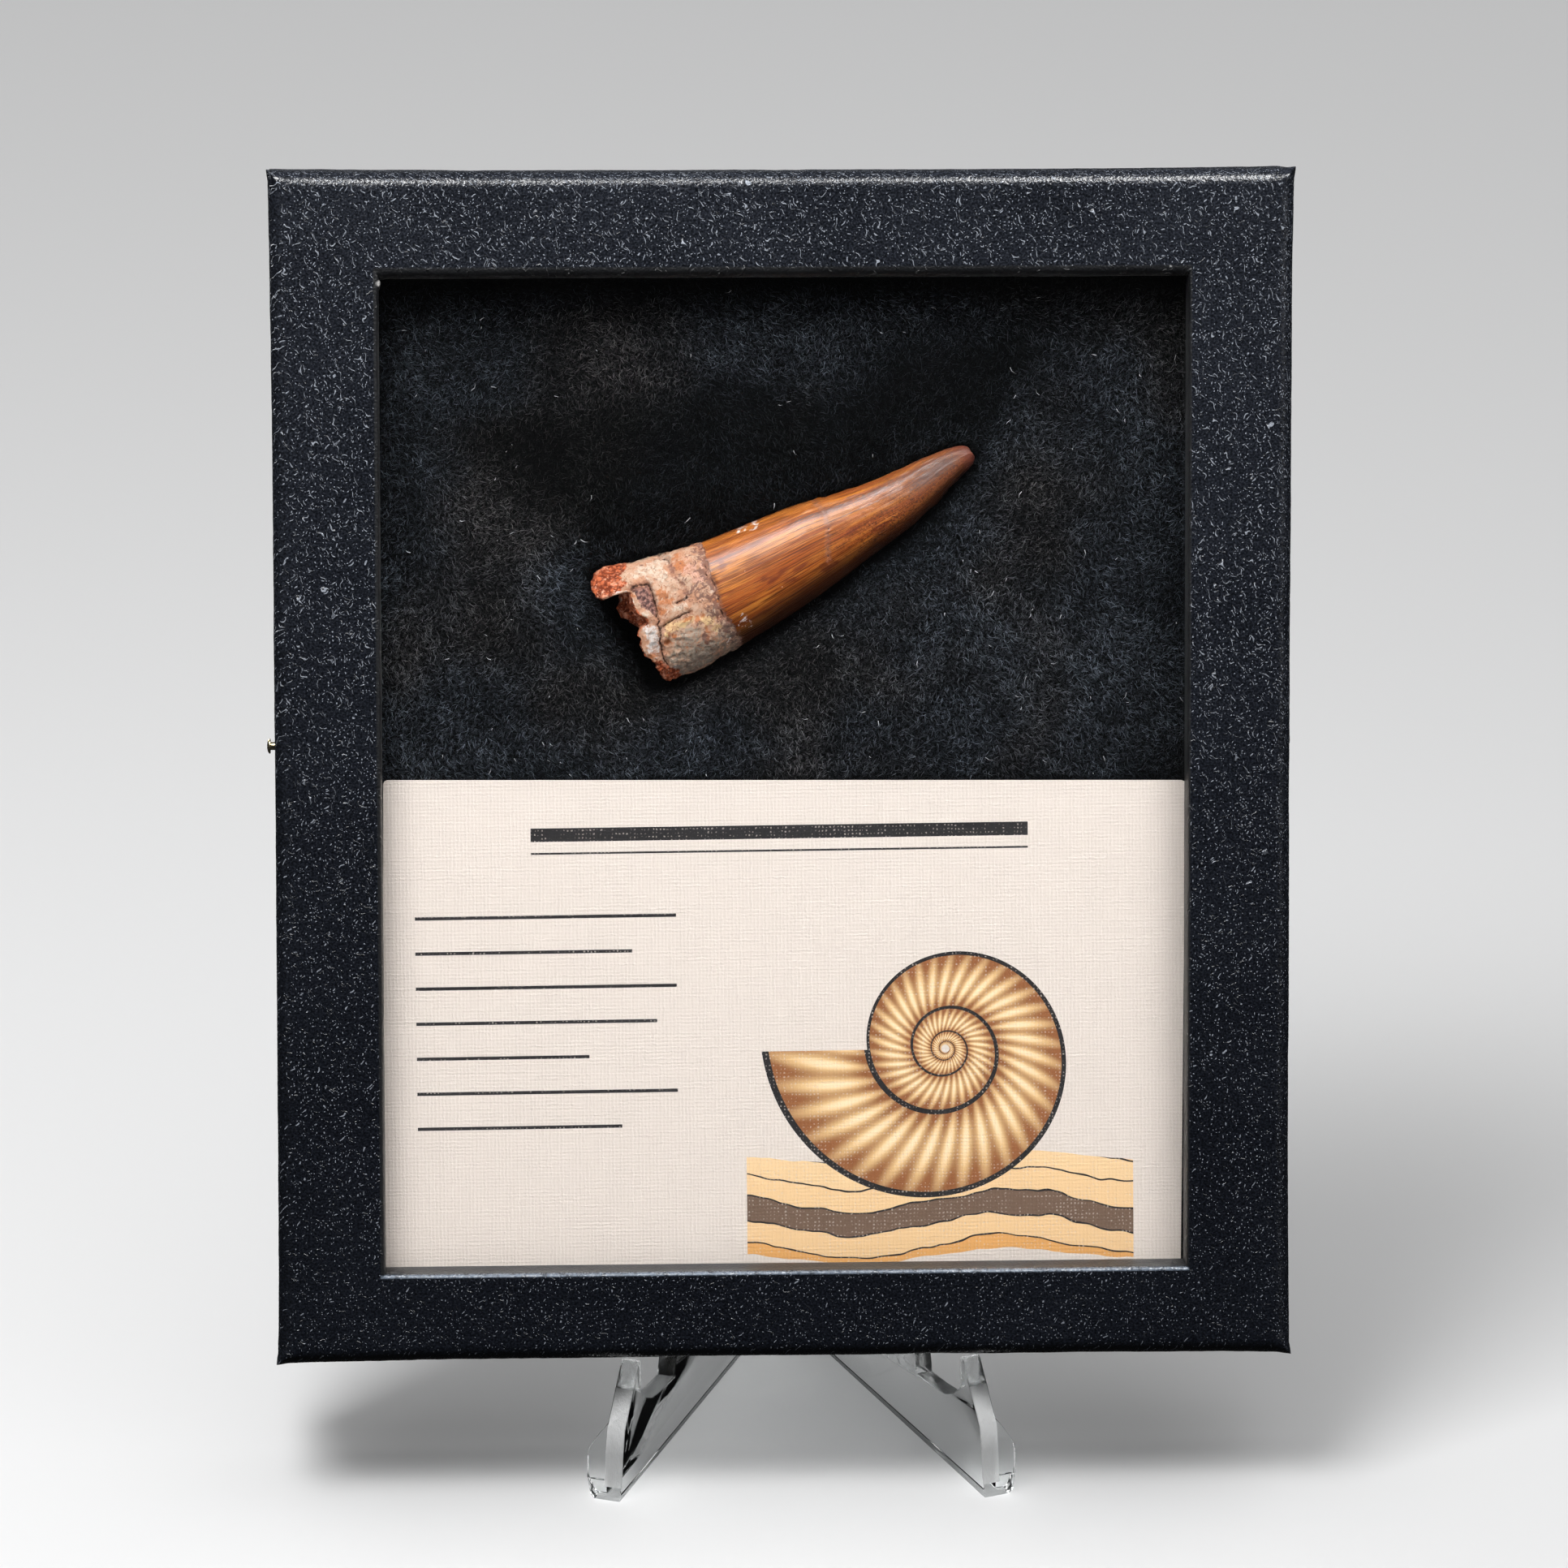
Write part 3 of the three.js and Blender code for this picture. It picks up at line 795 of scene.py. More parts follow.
@dataclass(frozen=True)
class Fleece:
    """Black needled fibre, as felt under the nap or as the nap's own hairs."""

    pose: BoxPose
    shelf: EffectShelf
    hairs: bool
    hair_dark: Colour = (0.0015, 0.0016, 0.0019, 1)
    hair_tips: tuple[Colour, Colour] = ((0.155, 0.178, 0.222, 1), (0.19, 0.178, 0.182, 1))
    felt_dark: Colour = (0.0009, 0.001, 0.0013, 1)
    felt_tips: tuple[Colour, Colour] = ((0.032, 0.037, 0.047, 1), (0.038, 0.036, 0.038, 1))
    relief: float = 0.0006

    def _hair(self, graph: Graph, patch: Value, warmth: Value) -> Socket:
        """Hairs, each with a tone of its own."""
        lot = graph.attribute("lot")
        # painted shade round and above the tooth and painted shadow under the top lip darken the hairs
        shade = graph.times(
            graph.math("POWER", lot, 1.7), graph.span(patch, 0.0, 1.0, (0.35, 0.95)),
            graph.attribute("nap_shade"),
        )
        colour = graph.mix(shade, self.hair_dark, graph.mix(warmth, *self.hair_tips))
        rough = graph.span(lot, 0.0, 1.0, (0.85, 0.6))
        return principled(graph, Base_Color=colour, Roughness=rough, Specular_IOR_Level=0.08)

    def _felt(self, graph: Graph, at: Value, patch: Value, warmth: Value) -> Socket:
        """Felt with small knots that catch the light."""
        knots = graph.noise(graph.warp(at, 0.9, 2.4), 3.2, 4.0, 0.7)
        # painted shade round and above the tooth and painted shadow under the top lip darken the felt
        shade = graph.times(
            graph.span(knots, 0.42, 0.66), graph.span(patch, 0.0, 1.0, (0.4, 1.0)), graph.attribute("nap_shade"),
        )
        colour = graph.mix(shade, self.felt_dark, graph.mix(warmth, *self.felt_tips))
        return principled(
            graph, Base_Color=colour, Specular_IOR_Level=0.05,
            Roughness=graph.span(knots, 0.3, 0.7, (0.8, 0.95)), Normal=graph.bump(knots, self.relief),
        )

    def build(self) -> Finish:
        """Patchy near-black that catches light at its tips."""
        material, graph = new_finish("fleece_hair" if self.hairs else "fleece_felt")
        at = self.pose.coordinates(graph)
        patch = self.shelf.mottle(graph, at, 0.06, 0.35, 0.45)
        warmth = graph.span(graph.noise(at, 0.04, 2.0), 0.42, 0.62)
        show(graph, self._hair(graph, patch, warmth) if self.hairs else self._felt(graph, at, patch, warmth))
        return material


@dataclass(frozen=True)
class Lint:
    """Pale threads and dust caught in the nap."""

    pose: BoxPose
    dark: Colour = (0.10, 0.10, 0.11, 1)
    light: Colour = (0.6, 0.6, 0.62, 1)

    def build(self) -> Finish:
        """Off-white, a little uneven."""
        material, graph = new_finish("lint")
        colour = graph.mix(graph.noise(self.pose.coordinates(graph), 1.5, 2.0), self.dark, self.light)
        show(graph, principled(graph, Base_Color=colour, Roughness=0.6))
        return material


@dataclass(frozen=True)
class PinBrass:
    """Bright brass of the pins."""

    shelf: EffectShelf
    worn: Colour = (0.62, 0.50, 0.28, 1)
    bright: Colour = (0.86, 0.78, 0.55, 1)
    relief: float = 0.00002

    def build(self) -> Finish:
        """Worn plating with a warm tone."""
        material, graph = new_finish("pin_brass")
        at = graph.millimetres()
        tone = self.shelf.mottle(graph, at, 0.8, 5.0, 0.5)
        show(graph, principled(
            graph, Base_Color=graph.mix(tone, self.worn, self.bright), Metallic=1.0,
            Roughness=graph.span(tone, 0.0, 1.0, (0.18, 0.34)),
            Normal=graph.bump(graph.noise(at, 6.0, 2.0), self.relief),
        ))
        return material


def ink_bar(graph: Graph, x: Value, z: Value, reach: Numbers) -> Socket:
    """One upright box of print from left, right, bottom and top."""
    left, right, bottom, top = reach
    across = graph.math("COMPARE", x, (left + right) / 2, (right - left) / 2)
    up = graph.math("COMPARE", z, (bottom + top) / 2, (top - bottom) / 2)
    return graph.times(across, up)


@dataclass(frozen=True)
class ShellPicture:
    """A coiled shell on wavy beds of rock, drawn in the card's millimetres."""

    middle: Spot = (20.5, 38.5)
    reach: float = 15.0
    growth: float = 2.35
    rib_count: int = 34
    outline: float = 0.045
    ground: Numbers = (-4.5, 44.0, 13.0, 25.5)
    bed_height: float = 2.9
    shell_dark: Colour = (0.27, 0.10, 0.035, 1)
    shell_light: Colour = (0.83, 0.55, 0.27, 1)
    shell_gleam: Colour = (0.88, 0.72, 0.50, 1)
    bed_ochre: Colour = (0.72, 0.36, 0.12, 1)
    bed_sand: Colour = (0.86, 0.66, 0.42, 1)
    bed_dark: Colour = (0.16, 0.10, 0.07, 1)

    def _coil(self, graph: Graph, x: Value, z: Value, ink: Colour) -> Tinted:
        """The shell's colour, and where it lies."""
        dx, dz = (graph.math("SUBTRACT", axis, centre) for axis, centre in zip((x, z), self.middle))
        radius = graph.math("SQRT", graph.plus(graph.times(dx, dx), graph.times(dz, dz)))
        angle = graph.math("DIVIDE", graph.math("ARCTAN2", dz, dx), 2 * math.pi)
        share = graph.math("DIVIDE", radius, self.reach)
        turns = graph.math("DIVIDE", graph.math("LOGARITHM", share, math.e), math.log(self.growth))
        coil = graph.plus(turns, angle)
        part = graph.math("FRACT", graph.plus(coil, 20.0))
        swept = graph.plus(angle, graph.times(part, 0.035))
        ribs = graph.math("SINE", graph.times(swept, 2 * math.pi * self.rib_count))
        hump = graph.math("SINE", graph.times(part, math.pi))
        tone = graph.plus(graph.times(ribs, 0.24), graph.times(hump, 0.62))
        flesh = graph.mix(graph.span(tone, 0.0, 0.9), self.shell_dark, self.shell_light)
        flesh = graph.mix(graph.span(tone, 0.55, 1.0), flesh, self.shell_gleam)
        line = graph.math("LESS_THAN", graph.math("PINGPONG", part, 0.5), self.outline)
        body = graph.times(graph.math("LESS_THAN", coil, 0.0), graph.math("GREATER_THAN", radius, 0.5))
        return graph.mix(line, flesh, ink), body

    def build(self, graph: Graph, x: Value, z: Value, ink: Colour) -> Tinted:
        """Colour and cover of the shell and of the beds it lies on."""
        flesh, body = self._coil(graph, x, z, ink)
        flat = graph.add("CombineXYZ", {0: x, 1: z}).outputs[0]
        wave = graph.times(graph.math("SINE", graph.times(x, 0.17)), 1.3)
        wave = graph.plus(wave, graph.times(graph.noise(flat, 0.16, 2.0), 2.2))
        level = graph.math("DIVIDE", graph.plus(z, wave), self.bed_height)
        rank = graph.add("TexWhiteNoise", {"W": graph.math("FLOOR", level)}, noise_dimensions="1D").outputs[0]
        beds = graph.mix(rank, self.bed_ochre, self.bed_sand)
        beds = graph.mix(graph.math("GREATER_THAN", rank, 0.72), beds, self.bed_dark)
        beds = graph.mix(graph.math("LESS_THAN", graph.math("FRACT", level), 0.07), beds, ink)
        ground = ink_bar(graph, x, graph.plus(z, graph.times(wave, 0.6)), self.ground)
        return graph.mix(body, beds, flesh), graph.most(body, ground)


@dataclass(frozen=True)
class LinenCard:
    """Cream linen-finish card with plain rules and a spiral shell over rock beds."""

    pose: BoxPose
    shelf: EffectShelf
    picture: ShellPicture = field(default_factory=ShellPicture)
    pitch: float = 0.46
    turn: float = math.radians(-0.4)
    paper: Colour = (0.715, 0.63, 0.585, 1)
    paper_low: Colour = (0.655, 0.57, 0.52, 1)
    ink: Colour = (0.018, 0.016, 0.018, 1)
    fleck: Colour = (0.22, 0.18, 0.15, 1)
    relief: float = 0.000035
    heading: Numbers = (-31.0, 31.0, 65.2, 66.9)
    hairline: Numbers = (-31.0, 31.0, 63.6, 63.85)
    rule_left: float = -45.5
    rule_rights: tuple[float, ...] = (-13.0, -18.5, -13.0, -15.5, -24.0, -13.0, -20.0)
    rule_top: float = 55.6
    rule_step: float = 4.4
    rule_height: float = 0.42

    def _rules(self, graph: Graph, x: Value, z: Value) -> Socket:
        """A heading bar with a hairline under it, and rows of plain rules."""
        bars = [self.heading, self.hairline]
        for row, right in enumerate(self.rule_rights):
            level = self.rule_top - self.rule_step * row
            bars.append((self.rule_left, right, level, level + self.rule_height))
        return graph.most(0.0, *(ink_bar(graph, x, z, bar) for bar in bars))

    def _weave(self, graph: Graph, level: Value, axes: Sequence[Value]) -> Socket:
        """Crossed threads that wander and break up, from about -1 to 1."""
        drift = graph.sway(graph.noise(level, 1.2, 1.0), 0.28)
        threads = []
        for axis, along in zip(axes, ((2.2, 1.0, 0.2), (0.2, 1.0, 2.2))):
            turn = graph.times(graph.plus(axis, drift), 2 * math.pi / self.pitch)
            wave = graph.span(graph.math("SINE", turn), -0.7, 1.0, (-0.8, 1.0))
            whole = graph.span(graph.noise(graph.stretch(level, along), 1.0, 1.0), 0.36, 0.64, (0.3, 1.0))
            threads.append(graph.times(wave, whole))
        slubs = graph.span(graph.noise(level, 3.4, 0.0), 0.3, 0.7, (0.35, 1.1))
        return graph.times(graph.plus(*threads), slubs)

    def build(self) -> Finish:
        """Cross-ribbed paper with its print worn by the ribs."""
        material, graph = new_finish("linen_card")
        at = self.pose.coordinates(graph)
        level = graph.add("Mapping", {"Vector": at, "Rotation": (0.0, -self.turn, 0.0)}).outputs[0]
        axes = graph.add("SeparateXYZ", {0: level})
        x, z = axes.outputs[0], axes.outputs[2]
        ribs = self._weave(graph, level, (x, z))
        height = graph.plus(graph.times(ribs, 0.4), 0.5)
        art, cover = self.picture.build(graph, x, z, self.ink)
        worn = graph.span(height, 0.0, 0.3, (0.6, 1.0))
        colour = graph.mix(graph.span(ribs, -0.8, 0.8), self.paper_low, self.paper)
        colour = graph.mix(graph.times(cover, worn), colour, art)
        colour = graph.mix(graph.times(self._rules(graph, x, z), worn), colour, self.ink)
        colour = graph.mix(self.shelf.specks(graph, at, 0.12, 0.03, 0.16), colour, self.fleck)
        show(graph, principled(
            graph, Base_Color=colour, Specular_IOR_Level=0.3,
            Roughness=graph.span(height, 0.0, 1.0, (0.72, 0.6)), Normal=graph.bump(height, self.relief),
        ))
        return material


@dataclass(frozen=True)
class Enamel:
    """Amber enamel of the crown, streaked from root to tip."""

    shelf: EffectShelf
    amber_deep: Colour = (0.36, 0.080, 0.009, 1)
    amber_bright: Colour = (0.58, 0.195, 0.026, 1)
    russet: Colour = (0.20, 0.036, 0.008, 1)
    line_dark: Colour = (0.10, 0.018, 0.003, 1)
    line_pale: Colour = (0.62, 0.25, 0.05, 1)
    hair_dark: Colour = (0.09, 0.02, 0.005, 1)
    blush: Colour = (0.13, 0.018, 0.006, 1)
    grit_dark: Colour = (0.06, 0.016, 0.007, 1)
    grit_pale: Colour = (0.44, 0.15, 0.05, 1)
    far_end: Colour = (0.15, 0.045, 0.022, 1)
    painted_underside_shade: Colour = (0.012, 0.0025, 0.001, 1)
    dusk: Colour = (0.115, 0.068, 0.062, 1)
    tip: Colour = (0.15, 0.034, 0.022, 1)
    nick: Colour = (0.66, 0.40, 0.26, 1)

    def build(self, graph: Graph, at: Value, grain: Value) -> Tinted:
        """Colour and height of the enamel.

        Args:
            graph: The material's graph.
            at: The box's millimetres.
            grain: Coordinates along the tooth and round it.

        Returns:
            The colour, and the height from about -1 to 2.
        """
        def streak(along: float, around: float, detail: float, rough: float, bend: float) -> Socket:
            """Noise drawn out from root to tip."""
            return graph.noise(graph.stretch(grain, (along, around, around)), 1.0, detail, rough, bend)

        line = streak(0.1, 12.0, 1.5, 0.5, 0.1)
        fine = streak(0.3, 21.0, 1.0, 0.5, 0.1)
        broad = streak(0.05, 1.5, 4.0, 0.6, 0.3)
        grit = graph.noise(graph.warp(at, 1.5, 0.6), 3.2, 3.0, 0.65)
        worn = graph.attribute("worn")
        blush = graph.plus(graph.attribute("blush"), graph.sway(fine, 1.6))
        dusk = graph.plus(graph.attribute("dusk"), graph.sway(fine, 1.0), graph.sway(grit, 0.9))
        amber = graph.mix(graph.span(broad, 0.38, 0.62), self.amber_deep, self.amber_bright)
        for cover, tone in (
            (graph.times(self.shelf.mottle(graph, at, 0.16, 0.5, 0.5), 0.5), self.russet),
            (graph.span(line, 0.5, 0.68, (0.0, 0.82)), self.line_dark),
            (graph.span(line, 0.44, 0.32, (0.0, 0.3)), self.line_pale),
            (graph.span(fine, 0.5, 0.66, (0.0, 0.7)), self.hair_dark),
            (graph.span(blush, 0.3, 0.8, (0.0, 0.7)), self.blush),
            (graph.times(graph.span(grit, 0.52, 0.64), worn), self.grit_dark),
            (graph.times(graph.span(grit, 0.42, 0.34), worn), self.grit_pale),
            (graph.times(graph.attribute("late"), 0.7), self.far_end),
            # painted shade: the crown's lower side turns near-black
            (graph.attribute("under"), self.painted_underside_shade),
            (graph.span(dusk, 0.2, 0.85, (0.0, 0.85)), self.dusk),
            (graph.times(graph.attribute("tip"), 0.75), self.tip),
            (self.shelf.specks(graph, at, 1.5, 0.1, 0.035), self.nick),
        ):
            amber = graph.mix(cover, amber, tone)
        height = graph.plus(graph.times(line, -0.8), graph.times(fine, -0.6), graph.times(grit, worn, 1.9))
        return amber, height


@dataclass(frozen=True)
class RootBone:
    """Chalky plates and stains of the root."""

    bone_deep: Colour = (0.48, 0.25, 0.16, 1)
    bone_pale: Colour = (0.53, 0.36, 0.265, 1)
    # attribute that says where each tone lies, the tone and its strongest cover
    patches: tuple[tuple[str, Colour, float], ...] = (
        ("pink", (0.60, 0.34, 0.26, 1), 0.9),
        ("ochre", (0.68, 0.46, 0.24, 1), 0.95),
        ("cream", (0.58, 0.46, 0.37, 1), 0.9),
        ("grey", (0.36, 0.29, 0.235, 1), 1.0),
        ("white", (0.60, 0.545, 0.525, 1), 0.95),
    )
    shade: Colour = (0.40, 0.195, 0.115, 1)
    rust: Colour = (0.45, 0.15, 0.055, 1)
    stain: Colour = (0.17, 0.09, 0.075, 1)
    pepper: Colour = (0.20, 0.10, 0.07, 1)
    flank_shade: Colour = (0.10, 0.078, 0.066, 1)
    hair_crack: Colour = (0.16, 0.085, 0.065, 1)

    def build(self, graph: Graph, at: Value) -> Tinted:
        """Colour and height of the root."""
        loose = graph.warp(at, 0.6, 1.6)
        patch = graph.noise(loose, 0.42, 3.0, 0.6)
        fleck = graph.noise(loose, 1.7, 4.0, 0.7)
        wander = graph.sway(graph.noise(loose, 1.5, 5.0, 0.7), 2.2)
        rusty = graph.plus(graph.attribute("rusty"), graph.sway(fleck, 3.2))
        seam = graph.span(graph.attribute("crown_edge"), -3.0, -0.4, (0.0, 0.75))
        stain = graph.plus(graph.most(graph.attribute("stain"), seam), graph.sway(fleck, 4.5))
        peppers = graph.span(graph.noise(loose, 3.4, 3.0, 0.6), 0.6, 0.68, (0.0, 0.75))
        flank_shade = graph.plus(graph.attribute("under"), wander)
        web = graph.cells(graph.warp(at, 1.3, 1.4), 0.55, "DISTANCE_TO_EDGE")
        hair = graph.times(graph.fall(web, 0.0, 0.03), graph.span(graph.noise(at, 0.5, 2.0), 0.5, 0.62))
        colour = graph.mix(graph.span(patch, 0.4, 0.6), self.bone_deep, self.bone_pale)
        for name, tone, share in self.patches:
            cover = graph.span(graph.plus(graph.attribute(name), wander), 0.35, 0.62, (0.0, share))
            colour = graph.mix(cover, colour, tone)
        for cover, tone in (
            (graph.span(graph.noise(loose, 1.9, 4.0, 0.7), 0.46, 0.6, (0.0, 0.6)), self.shade),
            (graph.span(rusty, 0.28, 0.72, (0.0, 0.85)), self.rust),
            (graph.span(stain, 0.4, 0.8, (0.0, 0.85)), self.stain),
            (peppers, self.pepper),
            # painted shade: the root's lower flank darkens to grey-brown
            (graph.span(flank_shade, 0.5, 1.2, (0.0, 0.75)), self.flank_shade),
            (graph.times(hair, 0.4), self.hair_crack),
        ):
            colour = graph.mix(cover, colour, tone)
        height = graph.plus(graph.times(fleck, 1.1), graph.times(hair, -0.6))
        return colour, graph.math("SUBTRACT", height, graph.times(peppers, 0.35))


@dataclass(frozen=True)
class RustMatrix:
    """Grainy iron-red matrix that clings to the root."""

    crease: Colour = (0.16, 0.03, 0.012, 1)
    grain: Colour = (0.50, 0.125, 0.05, 1)
    pale: Colour = (0.68, 0.29, 0.18, 1)
    sand: Colour = (0.70, 0.42, 0.30, 1)
    knob_shadow: Colour = (0.13, 0.026, 0.01, 1)

    def build(self, graph: Graph, at: Value) -> Tinted:
        """Colour and height of the matrix."""
        grains = graph.cells(graph.warp(at, 2.2, 0.5), 2.6, "SMOOTH_F1")
        patch = graph.noise(at, 0.8, 4.0, 0.65)
        colour = graph.mix(graph.fall(grains, 0.15, 0.6), self.crease, self.grain)
        colour = graph.mix(graph.span(patch, 0.52, 0.68), colour, self.pale)
        colour = graph.mix(graph.span(graph.noise(at, 3.0, 2.0), 0.6, 0.7, (0.0, 0.7)), colour, self.sand)
        # painted shadow: the matrix just below the knob is darkened
        colour = graph.mix(graph.times(graph.attribute("knob_shadow"), 0.3), colour, self.knob_shadow)
        return colour, graph.fall(grains, 0.1, 0.7)


@dataclass(frozen=True)
class ToothSkin:
    """Enamel, bone and matrix on one tooth, parted along their ragged edges."""

    pose: BoxPose
    shelf: EffectShelf
    seam: Colour = (0.16, 0.065, 0.045, 1)
    chip_dark: Colour = (0.085, 0.045, 0.043, 1)
    chip_pale: Colour = (0.33, 0.17, 0.14, 1)
    halo: Colour = (0.24, 0.10, 0.065, 1)
    crack: Colour = (0.035, 0.017, 0.014, 1)
    chalk: Colour = (0.74, 0.68, 0.66, 1)
    relief: float = 0.00012

    def build(self) -> Finish:
        """Crown, root and matrix with the chips, cracks and chalky rings over them."""
        material, graph = new_finish("tooth_skin")
        at = self.pose.coordinates(graph)
        grain = graph.add("Attribute", attribute_name="grain").outputs["Vector"]
        ragged = graph.sway(graph.noise(at, 1.6, 4.0, 0.65), 2.1)
        crown, crown_height = Enamel(self.shelf).build(graph, at, grain)
        root, root_height = RootBone().build(graph, at)
        rust, rust_height = RustMatrix().build(graph, at)
        edge = graph.plus(graph.attribute("crown_edge"), ragged)
        on_root = graph.fall(edge, -0.08, 0.08)
        on_rust = graph.fall(graph.plus(graph.attribute("rust_edge"), graph.times(ragged, 0.6)), -0.1, 0.1)
        in_chip = graph.fall(graph.plus(graph.attribute("chip_edge"), graph.times(ragged, 0.4)), -0.08, 0.08)
        broken = graph.span(graph.noise(at, 0.9, 3.0), 0.35, 0.55, (0.2, 0.9))
        seam = graph.times(graph.fall(graph.math("ABSOLUTE", edge), 0.03, 0.2), broken)
        patch = graph.span(graph.noise(at, 2.4, 3.0, 0.6), 0.4, 0.62)
        chip = graph.mix(patch, self.chip_dark, self.chip_pale)
        wander = graph.sway(graph.noise(at, 3.5, 3.0, 0.6), 0.3)
        crack = graph.fall(graph.plus(graph.attribute("crack"), wander), 0.01, 0.12)
        halo = graph.plus(graph.attribute("crack"), graph.times(wander, 5.0))
        rings = graph.plus(graph.attribute("chalk"), graph.times(ragged, 0.3))
        chalk = graph.span(rings, -0.05, 0.1, (0.75, 0.0))
        colour = graph.mix(on_root, crown, root)
        for cover, tone in (
            (seam, self.seam),
            (in_chip, chip),
            (on_rust, rust),
            (graph.span(halo, 0.0, 0.55, (0.6, 0.0)), self.halo),
            (graph.times(crack, 0.9), self.crack),
            (chalk, self.chalk),
        ):
            colour = graph.mix(cover, colour, tone)
        height = graph.blend(on_root, graph.times(crown_height, 0.8), root_height)
        height = graph.math("SUBTRACT", graph.blend(on_rust, height, rust_height), graph.times(crack, 0.8))
        dull = graph.most(on_root, on_rust, chalk)
        rough = graph.blend(dull, graph.span(crown_height, -0.9, 0.3, (0.45, 0.33)), 0.74)
        bright = graph.times(
            graph.math("SUBTRACT", 1.0, dull), graph.attribute("gloss"),
            graph.span(graph.attribute("late"), 0.0, 1.0, (0.95, 0.5)),
        )
        show(graph, principled(
            graph, Base_Color=colour, Roughness=rough, Specular_IOR_Level=0.1, Coat_Weight=bright,
            Coat_Roughness=0.36, Coat_IOR=1.6, Normal=graph.bump(height, self.relief),
        ))
        return material


# --- specimen box


@dataclass(frozen=True)
class Rect:
    """An upright rectangle at one depth, in millimetres."""

    left: float
    right: float
    bottom: float
    top: float
    depth: float

    def toward(self, other: Rect, t: float) -> Rect:
        """A rectangle a share of the way to another, at this one's depth."""
        sides = ("left", "right", "bottom", "top")
        return Rect(*((1 - t) * getattr(self, side) + t * getattr(other, side) for side in sides), self.depth)

    def ring(self, sides: tuple[int, int]) -> np.ndarray:
        """Points round the rectangle.

        Args:
            sides: How many steps the level sides and the upright sides have.

        Returns:
            One row per point, from the bottom left corner anticlockwise.
        """
        level, upright = sides
        across = np.linspace(self.left, self.right, level + 1)[:-1]
        back = np.linspace(self.right, self.left, level + 1)[:-1]
        rise = np.linspace(self.bottom, self.top, upright + 1)[:-1]
        fall = np.linspace(self.top, self.bottom, upright + 1)[:-1]
        x = np.concatenate([across, np.full(upright, self.right), back, np.full(upright, self.left)])
        z = np.concatenate([np.full(level, self.bottom), rise, np.full(level, self.top), fall])
        return columns(x, np.full(len(x), self.depth), z)


